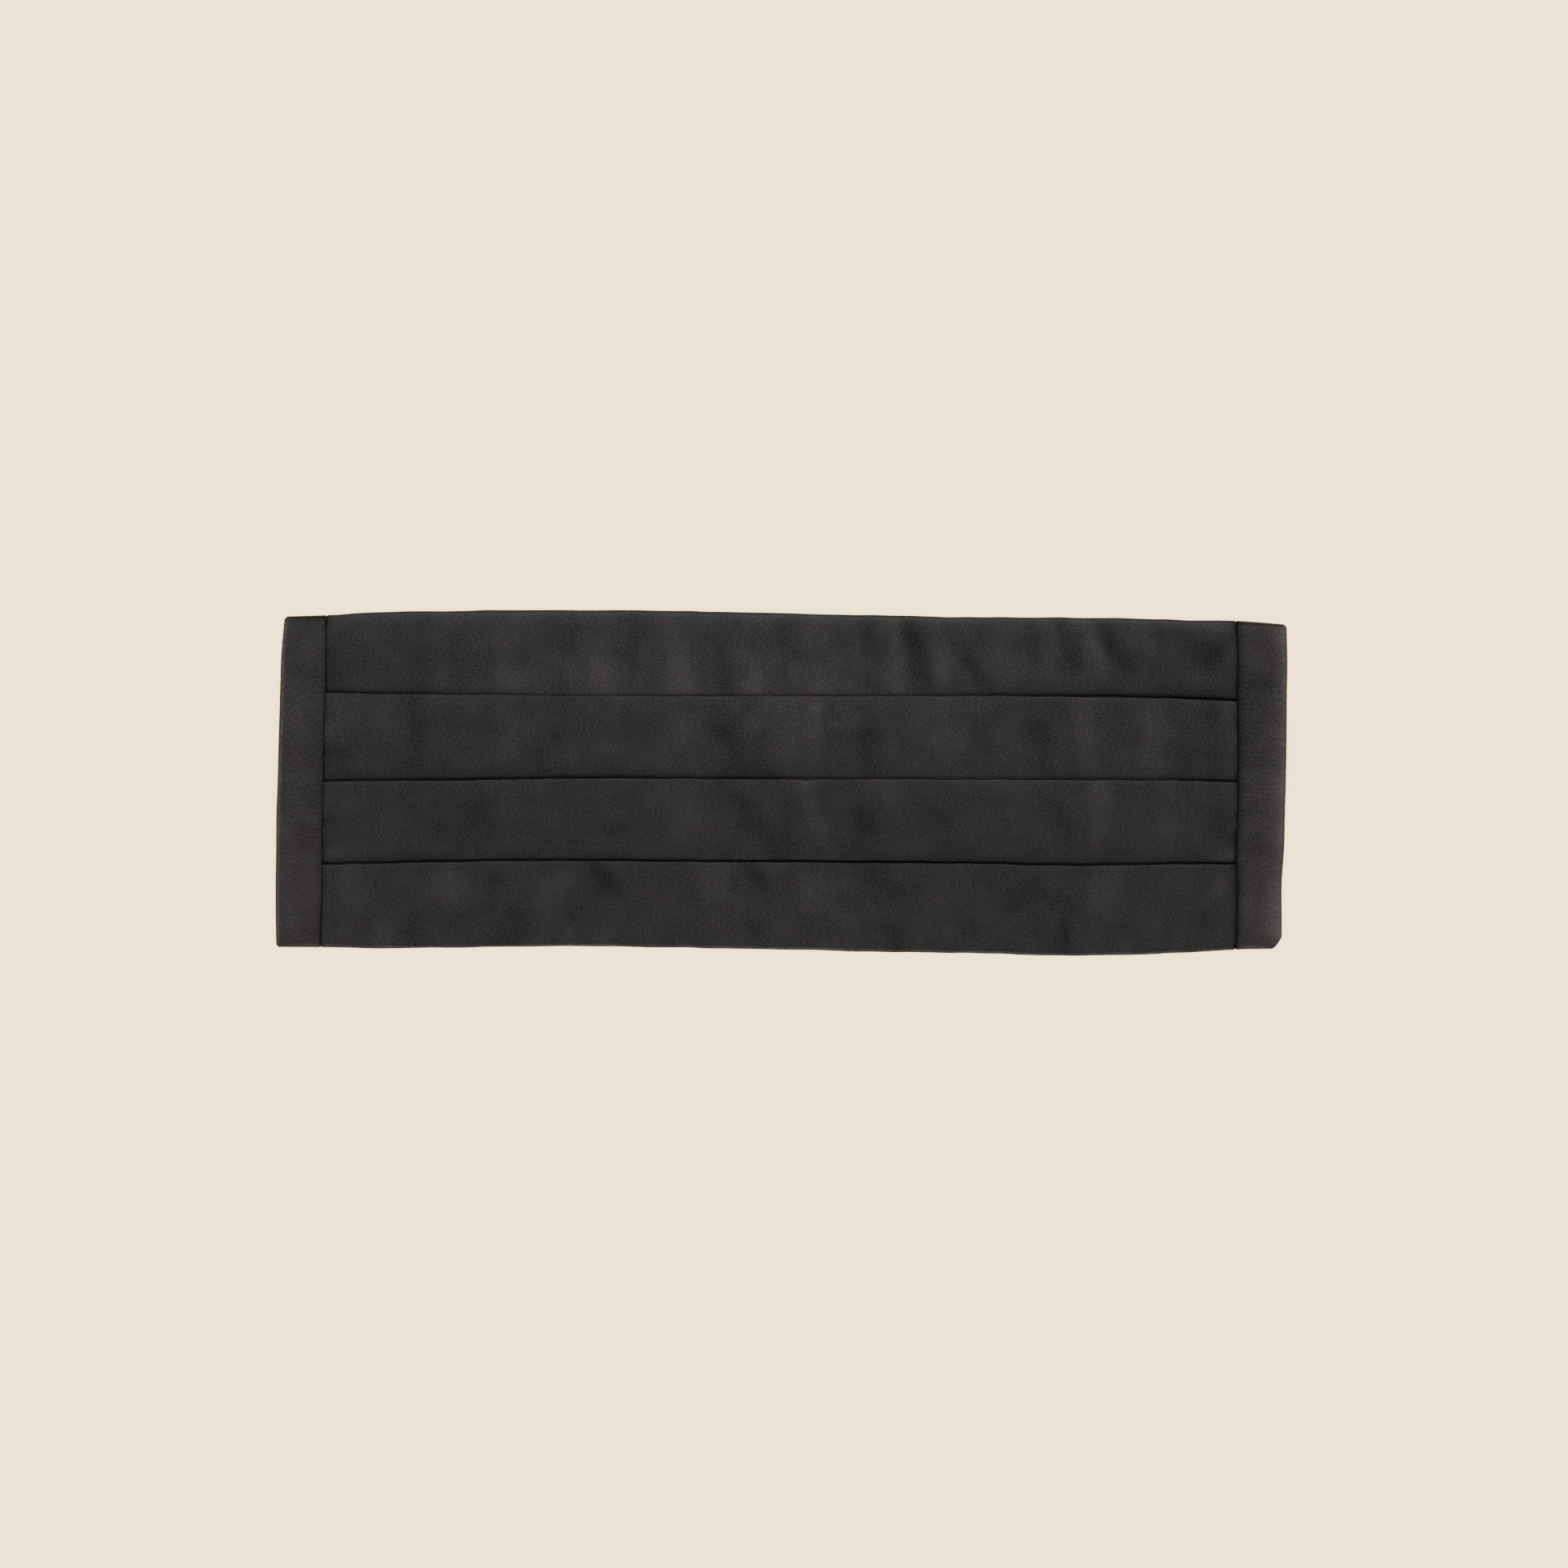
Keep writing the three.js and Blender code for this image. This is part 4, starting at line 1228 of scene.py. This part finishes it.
@dataclass
class EndBand:
    """A strip of the same satin folded round the ends of the pleats, its nose turned in at the seam,
    pressed thin and rounded at the outer edge and tucked in at both long edges."""

    side: Side
    front: PleatedFront
    wall: float = 0.45
    rise: float = 0.4
    pressed: float = 2.4
    ramp: float = 2.2
    edge_radius: float = 0.8
    columns: int = 100
    girth_ring: int = 10

    def top(self, across: Array, share: Array) -> Array:
        """Thickness of the band: it lies over the highest layers at the seam, smoothly from one to
        the next, and thins towards its outer edge.

        Args:
            across: Places across the even section.
            share: Share of the way from the outer edge to the seam.

        Returns:
            The heights above its underside.
        """
        fine = np.linspace(-PLAN.height, PLAN.height, 2049)
        window = int(self.ramp / (fine[1] - fine[0]))
        level = self.front.seam_top(fine)
        highest = np.stack([np.roll(level, k) for k in range(-window, window + 1)]).max(0)
        even = np.convolve(highest, np.ones(2 * window - 1) / (2 * window - 1), "same")
        at_seam = np.interp(across, fine, even) + self.rise
        return mix(self.pressed, at_seam, smoothstep(-0.15, 1.0, share) ** 0.8)

    def swell(self, y: Array) -> Array:
        """How far the band's soft swells and hollows stand up or down."""
        own = [bump for bump in BAND_SWELLS if bump.side is self.side]
        return sum(bump.height * bell(y - bump.at, bump.reach) for bump in own)

    def ring(self, share: Array, nose: Array, wall: Array) -> Array:
        """The points of the band's rings.

        Args:
            share: Share of the way from the outer edge to the seam, one a ring.
            nose: How far the ring stands out past the seam, towards the pleats.
            wall: How far the ring lies inside the outer face.

        Returns:
            The points, ring by ring.
        """
        edge = PLAN.height / 2 - self.edge_radius
        run = np.linspace(-edge, edge, self.columns)
        level, out = half_turn(8)
        out = edge + self.edge_radius * out
        across = np.concatenate([run, out, run[::-1], -out])
        height = np.concatenate([run * 0, level, run * 0 + 1, 1 - level])
        share, nose, wall = share[:, None], nose[:, None], wall[:, None]
        across, height, share = np.broadcast_arrays(across[None], height[None], share)
        outer, seam = [PLAN.end_x(self.side, inner, across) for inner in (False, True)]
        x = mix(outer, seam, share) - self.side.value * nose
        inwards = np.abs(outer - x)
        drop, reach = DROOPS[self.side]
        full = self.top(across, share) - drop * np.maximum(1 - inwards / reach, 0) ** 2
        rounded = np.sqrt(np.clip(1 - np.maximum(1 - inwards / (self.pressed / 2), 0) ** 2, 0.02, 1))
        z = mix(full / 2, mix(wall, full - wall, height), np.where(wall > 0, 1, rounded))
        grown = across * (1 - wall / (PLAN.height / 2))
        y = PLAN.outline_y(x, grown) * PLAN.corner_cut(self.side, x, across)
        bend = 0.06 * mottle(x, y, 11.0, 21) + 0.08 * mottle(x * 0.4, y, 24.0, 22) + 0.4 * self.swell(y)
        pull = 0.07 * drift(y + self.side.value * 300, 4.2, 12) * smoothstep(0.6, 1.0, share)
        z = z + (bend * smoothstep(0.1, 0.4, share) + pull) * height + PLAN.carried(x, y)
        return np.stack([x, y, z], -1)

    def caps(self, rings: int, count: int) -> list[list[int]]:
        """The faces that close the bag across its first and its last ring.

        Args:
            rings: How many rings there are.
            count: How many points each has.

        Returns:
            The faces: a strip from one long side to the other, and one face at each end of it.
        """
        arc = count // 2 - self.columns
        faces = []
        for first, turned in ((0, 1), ((rings - 1) * count, -1)):
            for i in range(self.columns - 1):
                far = first + count - arc - 1 - i
                faces.append([first + i + 1, first + i, far, far - 1][::turned])
            top, foot = range(self.columns - 1, self.columns + arc + 1), (*range(count - arc - 1, count), 0)
            faces += [[first + i for i in run][::-turned] for run in (top, foot)]
        return faces

    def build(self) -> bpy.types.Object:
        """Makes the band as one closed bag of cloth.

        Returns:
            The piece.
        """
        ends = ([0, 0.004, 0.012, 0.025, 0.045], [0.97, 0.99, 1.0])
        shares = np.concatenate([ends[0], np.linspace(0.08, 0.94, 18), ends[1]])
        level, out = half_turn(8)
        pocket = np.array([1.0, 0.94, 0.84, 0.7, 0.5, 0.3, 0.18, 0.1])
        share = np.concatenate([shares, level * 0 + 1, pocket])
        nose = np.concatenate([shares * 0, self.wall / 2 * out, pocket * 0])
        wall = np.concatenate([shares * 0, self.wall * level, pocket * 0 + self.wall])
        rings = self.ring(share, nose, wall)
        travel = (1 - share) * PLAN.band_width
        along = PLAN.band_width + np.where(wall > 0, nose + travel, -travel)
        # Painted shade: dark inside the pocket and at the fold of the seam.
        deep, wide = SEAM_SHADES[self.side]
        fold = deep * fading(travel, wide) + 0.25 * nose / self.wall
        dark = np.where(wall > self.wall * 0.5, 0.9, fold)[:, None] + np.zeros(rings.shape[:2])
        # Painted highlight on the outer fold, and painted highlight and shade following the swells.
        shine = EDGE_SHINES[self.side] * fading(share * PLAN.band_width, 3.0)
        sheen = self.swell(rings[..., 1]) + shine[:, None]
        name, caps = f"band_{self.side.name.lower()}", self.caps(*rings.shape[:2])
        return Weft(name, rings, along, distances(rings[self.girth_ring]), dark, caps, sheen).build()


@dataclass
class Strap:
    """Ribbed woven tape, flat behind the panel from its band to its slot in the clasp."""

    side: Side
    thickness: float = 0.8
    rib: float = 1.2
    rib_height: float = 0.05
    edge_radius: float = 0.5
    ramp: tuple = (3.0, 16.0)
    stitch_margins: tuple = (2.5, 1.5, 2.5)
    stitch_level: float = 0.12

    def build(self) -> bpy.types.Object:
        """Makes the tape as a closed strip.

        Returns:
            The piece.
        """
        sign = self.side.value
        sewn = sign * (PLAN.length / 2 - PLAN.strap_inset)
        mouth = PLAN.clasp_shift + sign * PLAN.clasp_length / 2
        tip = mouth - sign * (PLAN.slot_depth - PLAN.clearance)
        rings = int(abs(sewn - tip) / (self.rib / 4))
        half = PLAN.strap_width / 2
        edge = half - self.edge_radius
        flat = np.linspace(-half + 3, half - 3, 9)
        run = np.concatenate([[-edge, -half + 1.6], flat, [half - 1.6, edge]])
        level, out = half_turn(6)
        out = edge + self.edge_radius * out
        across = np.concatenate([run, out, run[::-1], -out])
        level = np.concatenate([run * 0, level, run * 0 + 1, 1 - level])
        x = np.linspace(sewn, tip, rings)[:, None]
        x, across, level = np.broadcast_arrays(x, across[None], level[None])
        lift = (PLAN.clasp_wall + PLAN.clearance) * (1 - smoothstep(*self.ramp, sign * (x - mouth)))
        ribs = self.rib_height * np.cos(2 * math.pi * x / self.rib) * (np.abs(across) < half - 1)
        gap = (PLAN.strap_thickness - self.thickness) / 2
        z = mix(gap - ribs, gap + self.thickness + ribs, level) + lift
        y = PLAN.strap_shift + across + 0.12 * drift(x, 30.0, 31)
        points = np.stack([x, y, z], -1)
        count = points.shape[1]
        caps = [list(range(count))[::-1], [(rings - 1) * count + i for i in range(count)]]
        around = distances(np.stack([across[0], level[0] * self.thickness], -1))
        return Weft(f"tape_{self.side.name.lower()}", points, np.abs(x[:, 0]), around, x * 0, caps).build()

    def stitch_line(self) -> Array:
        """The box that the tape's end is sewn round, on its underside.

        Returns:
            Its corners in the order of sewing, in millimetres.
        """
        end, seam, aside = self.stitch_margins
        outer, inner = PLAN.length / 2 - PLAN.strap_inset - end, PLAN.seam + seam
        half = PLAN.strap_width / 2 - aside
        low, high = PLAN.strap_shift - half, PLAN.strap_shift + half
        corners = [(outer, low), (outer, high), (inner, high), (inner, low), (outer, low), (inner, high)]
        return np.array([(self.side.value * x, y, self.stitch_level) for x, y in corners])


@dataclass
class Stitching:
    """Lock stitches along lines: each one a short thread laid end to end with the next."""

    name: str
    lines: list
    pitch: float = 2.4
    length: float = 1.9
    thickness: float = 0.22

    def tree(self, material: bpy.types.Material) -> bpy.types.NodeTree:
        """Builds the nodes that sew along a line.

        Args:
            material: The thread.

        Returns:
            The node tree, with its sizes as inputs.
        """
        tree = bpy.data.node_groups.new("sewn_line", "GeometryNodeTree")
        face = tree.interface
        face.new_socket("Geometry", in_out="OUTPUT", socket_type="NodeSocketGeometry")
        face.new_socket("Geometry", in_out="INPUT", socket_type="NodeSocketGeometry")
        for name in ("Pitch", "Stitch Length", "Thread Thickness"):
            face.new_socket(name, in_out="INPUT", socket_type="NodeSocketFloat")
        given = add_node(tree, "NodeGroupInput").outputs
        path = add_node(tree, "GeometryNodeMeshToCurve", {"Mesh": given["Geometry"]})
        spaced = add_node(tree, "GeometryNodeResampleCurve", {
            "Curve": path.outputs[0], "Length": given["Pitch"]}, mode="LENGTH")
        thread = add_node(tree, "GeometryNodeMeshUVSphere", {"Segments": 8, "Rings": 6, "Radius": 0.5})
        thin = given["Thread Thickness"]
        size = add_node(tree, "ShaderNodeCombineXYZ", {0: thin, 1: thin, 2: given["Stitch Length"]})
        shaped = add_node(tree, "GeometryNodeTransform", {
            "Geometry": thread.outputs[0], "Scale": size.outputs[0]})
        tangent = add_node(tree, "GeometryNodeInputTangent")
        turned = add_node(tree, "FunctionNodeAlignRotationToVector", {
            "Vector": tangent.outputs[0]}, axis="Z")
        placed = add_node(tree, "GeometryNodeInstanceOnPoints", {
            "Points": spaced.outputs[0], "Instance": shaped.outputs[0], "Rotation": turned.outputs[0]})
        real = add_node(tree, "GeometryNodeRealizeInstances", {"Geometry": placed.outputs[0]})
        shown = add_node(tree, "GeometryNodeSetMaterial", {
            "Geometry": real.outputs[0], "Material": material})
        add_node(tree, "NodeGroupOutput", {"Geometry": shown.outputs[0]})
        return tree

    def build(self, material: bpy.types.Material) -> bpy.types.Object:
        """Sews the lines and makes the stitches one plain mesh.

        Args:
            material: The thread.

        Returns:
            The piece.
        """
        points, edges = [], []
        for line in self.lines:
            first = len(points)
            points += [tuple(p * MM) for p in line]
            edges += [(first + i, first + i + 1) for i in range(len(line) - 1)]
        mesh = bpy.data.meshes.new(self.name)
        mesh.from_pydata(points, edges, [])
        path = put(self.name, mesh)
        sewn = path.modifiers.new("sewn", "NODES")
        sewn.node_group = self.tree(material)
        sizes = {"Pitch": self.pitch, "Stitch Length": self.length, "Thread Thickness": self.thickness}
        for item in sewn.node_group.interface.items_tree:
            if item.in_out == "INPUT" and item.name in sizes:
                sewn[item.identifier] = sizes[item.name] * MM
        applied(path)
        dress(path, material)
        return path


@dataclass
class Clasp:
    """The closed clasp: a flat moulded case with rounded corners and edges, and a slot at each end."""

    corner: float = 4.0
    corner_steps: int = 9
    bevel: float = 0.6
    bevel_steps: int = 3

    def block(self, name: str, x: tuple, y: tuple, z: tuple, corner: float) -> bpy.types.Object:
        """A block with rounded corners seen from above.

        Args:
            name: The object's name.
            x: Its two ends along the length.
            y: Its two ends across.
            z: Its underside and its top.
            corner: Radius of its corners.

        Returns:
            The object.
        """
        outline = []
        steps = self.corner_steps if corner > 0 else 1
        for turn, (cx, cy) in enumerate(((x[1], y[1]), (x[0], y[1]), (x[0], y[0]), (x[1], y[0]))):
            in_x, in_y = -1 if cx == x[1] else 1, -1 if cy == y[1] else 1
            for angle in np.linspace(0, math.pi / 2, steps) + turn * math.pi / 2:
                px, py = in_x + math.cos(angle), in_y + math.sin(angle)
                outline.append((cx + corner * px, cy + corner * py))
        work = bmesh.new()
        foot = work.faces.new([work.verts.new((px * MM, py * MM, z[0] * MM)) for px, py in outline])
        made = bmesh.ops.extrude_face_region(work, geom=[foot])
        lifted = [v for v in made["geom"] if isinstance(v, bmesh.types.BMVert)]
        bmesh.ops.translate(work, verts=lifted, vec=(0, 0, (z[1] - z[0]) * MM))
        bmesh.ops.recalc_face_normals(work, faces=work.faces)
        mesh = bpy.data.meshes.new(name)
        work.to_mesh(mesh)
        work.free()
        return put(name, mesh)

    def build(self) -> bpy.types.Object:
        """Cuts the slots into the case and rounds its edges.

        Returns:
            The piece.
        """
        half, width = PLAN.clasp_length / 2, PLAN.clasp_width / 2
        middle, shift = PLAN.clasp_shift, PLAN.strap_shift
        top, wall = PLAN.clasp_thickness, PLAN.clasp_wall
        ends, sides = (middle - half, middle + half), (shift - width, shift + width)
        case = self.block("clasp_case", ends, sides, (0, top), self.corner)
        rounded = case.modifiers.new("rounded", "BEVEL")
        rounded.width, rounded.segments = self.bevel * MM, self.bevel_steps
        rounded.angle_limit = math.radians(60)
        slot = PLAN.strap_width / 2 + PLAN.clearance
        cutters = []
        for side in Side:
            ends = sorted(middle + side.value * reach for reach in (half - PLAN.slot_depth, half + 1))
            name = f"slot_{side.name.lower()}"
            cutter = self.block(name, tuple(ends), (shift - slot, shift + slot), (wall, top - wall), 0)
            cut = case.modifiers.new("slot", "BOOLEAN")
            cut.object, cut.operation, cut.solver = cutter, "DIFFERENCE", "EXACT"
            cutters.append(cutter)
        result = applied(case)
        result.set_sharp_from_angle(angle=math.radians(35))
        for cutter in cutters:
            bpy.data.objects.remove(cutter)
        return case


@dataclass(frozen=True)
class Softbox:
    """One soft studio light: where it stands, in metres, its width and its power."""

    name: str
    place: tuple
    size: float
    power: float
    colour: tuple = (1.0, 0.985, 0.975)

    def build(self) -> None:
        """Makes the light, turned to the middle of the object."""
        light = bpy.data.lights.new(self.name, "AREA")
        light.shape, light.size, light.energy, light.color = "SQUARE", self.size, self.power, self.colour
        stand = put(self.name, light)
        stand.location = self.place
        stand.rotation_euler = (-Vector(self.place)).to_track_quat("-Z", "Y").to_euler()


@dataclass
class Studio:
    """A pale paper floor, soft lights and a camera straight above, all placed in metres."""

    distance: float = 2.4734
    lens: float = 150.0
    sensor: float = 36.0
    aim: tuple = (0.00109, -0.00066)
    ambient: float = 0.1
    air: tuple = (1.0, 0.99, 0.98, 1)
    floor_reach: float = 2.5
    floor_level: float = -0.0003

    def build(self) -> None:
        """Makes the camera, the lights, the surroundings and the floor."""
        scene = bpy.context.scene
        data = bpy.data.cameras.new("camera")
        data.lens, data.sensor_width, data.clip_start, data.clip_end = self.lens, self.sensor, 0.01, 20.0
        scene.camera = put("camera", data)
        scene.camera.location = (*self.aim, self.distance)
        for light in (
            Softbox("high_top", (0.1, 0.7, 2.3), 0.6, 11.5),
            Softbox("side_left", (-1.6, 0.2, 1.7), 1.0, 38.0),
            Softbox("side_right", (1.6, 0.2, 1.7), 1.0, 30.0),
            Softbox("foot", (0.0, -1.8, 1.8), 1.0, 40.0),
        ):
            light.build()
        world = bpy.data.worlds.new("studio")
        scene.world = world
        world.use_nodes = True
        tree = world.node_tree
        tree.nodes.clear()
        air = add_node(tree, "ShaderNodeBackground", {"Color": self.air, "Strength": self.ambient})
        add_node(tree, "ShaderNodeOutputWorld", {"Surface": air.outputs[0]})
        mesh = bpy.data.meshes.new("paper_floor")
        reach, low = self.floor_reach, self.floor_level
        corners = [(-reach, -reach, low), (reach, -reach, low), (reach, reach, low), (-reach, reach, low)]
        mesh.from_pydata(corners, [], [(0, 1, 2, 3)])
        floor = put("paper_floor", mesh)
        dress(floor, PaperFinish().material())


def declare(piece: bpy.types.Object, node: str | None) -> None:
    """Says what a piece rides on and stands for, and reports it.

    Args:
        piece: The visible piece.
        node: The solid that it stands for, if it does.
    """
    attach(piece, "root")
    if node:
        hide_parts(node)
    piece.data.calc_loop_triangles()
    triangles = len(piece.data.loop_triangles)
    LOG.info("%s: %d triangles, stands for %s", piece.name, triangles, node or "nothing")


def main() -> None:
    """Builds the pieces in order, dresses them and sets up the studio."""
    logging.basicConfig(level=logging.INFO, format="%(name)s: %(message)s")
    Studio().build()
    front = PleatedFront()
    pleats = front.build()
    dress(pleats, SatinFinish("black_satin_pleats", Weave.ALONG).material())
    declare(pleats, "pleated_front")
    band_satin = SatinFinish("black_satin_bands", Weave.ACROSS, colour="#0f0c0c", pale="#272323").material()
    for side in Side:
        band = EndBand(side, front).build()
        dress(band, band_satin)
        declare(band, f"end_band_{side.name.lower()}")
    tape = WebbingFinish().material()
    for side in Side:
        strap = Strap(side).build()
        dress(strap, tape)
        declare(strap, f"strap_{side.name.lower()}")
    clasp = Clasp().build()
    dress(clasp, NylonFinish().material())
    declare(clasp, "clasp")
    stitches = Stitching("box_stitches", [Strap(side).stitch_line() for side in Side])
    sewn = stitches.build(ThreadFinish().material())
    declare(sewn, None)


if __name__ == "__main__":
    main()
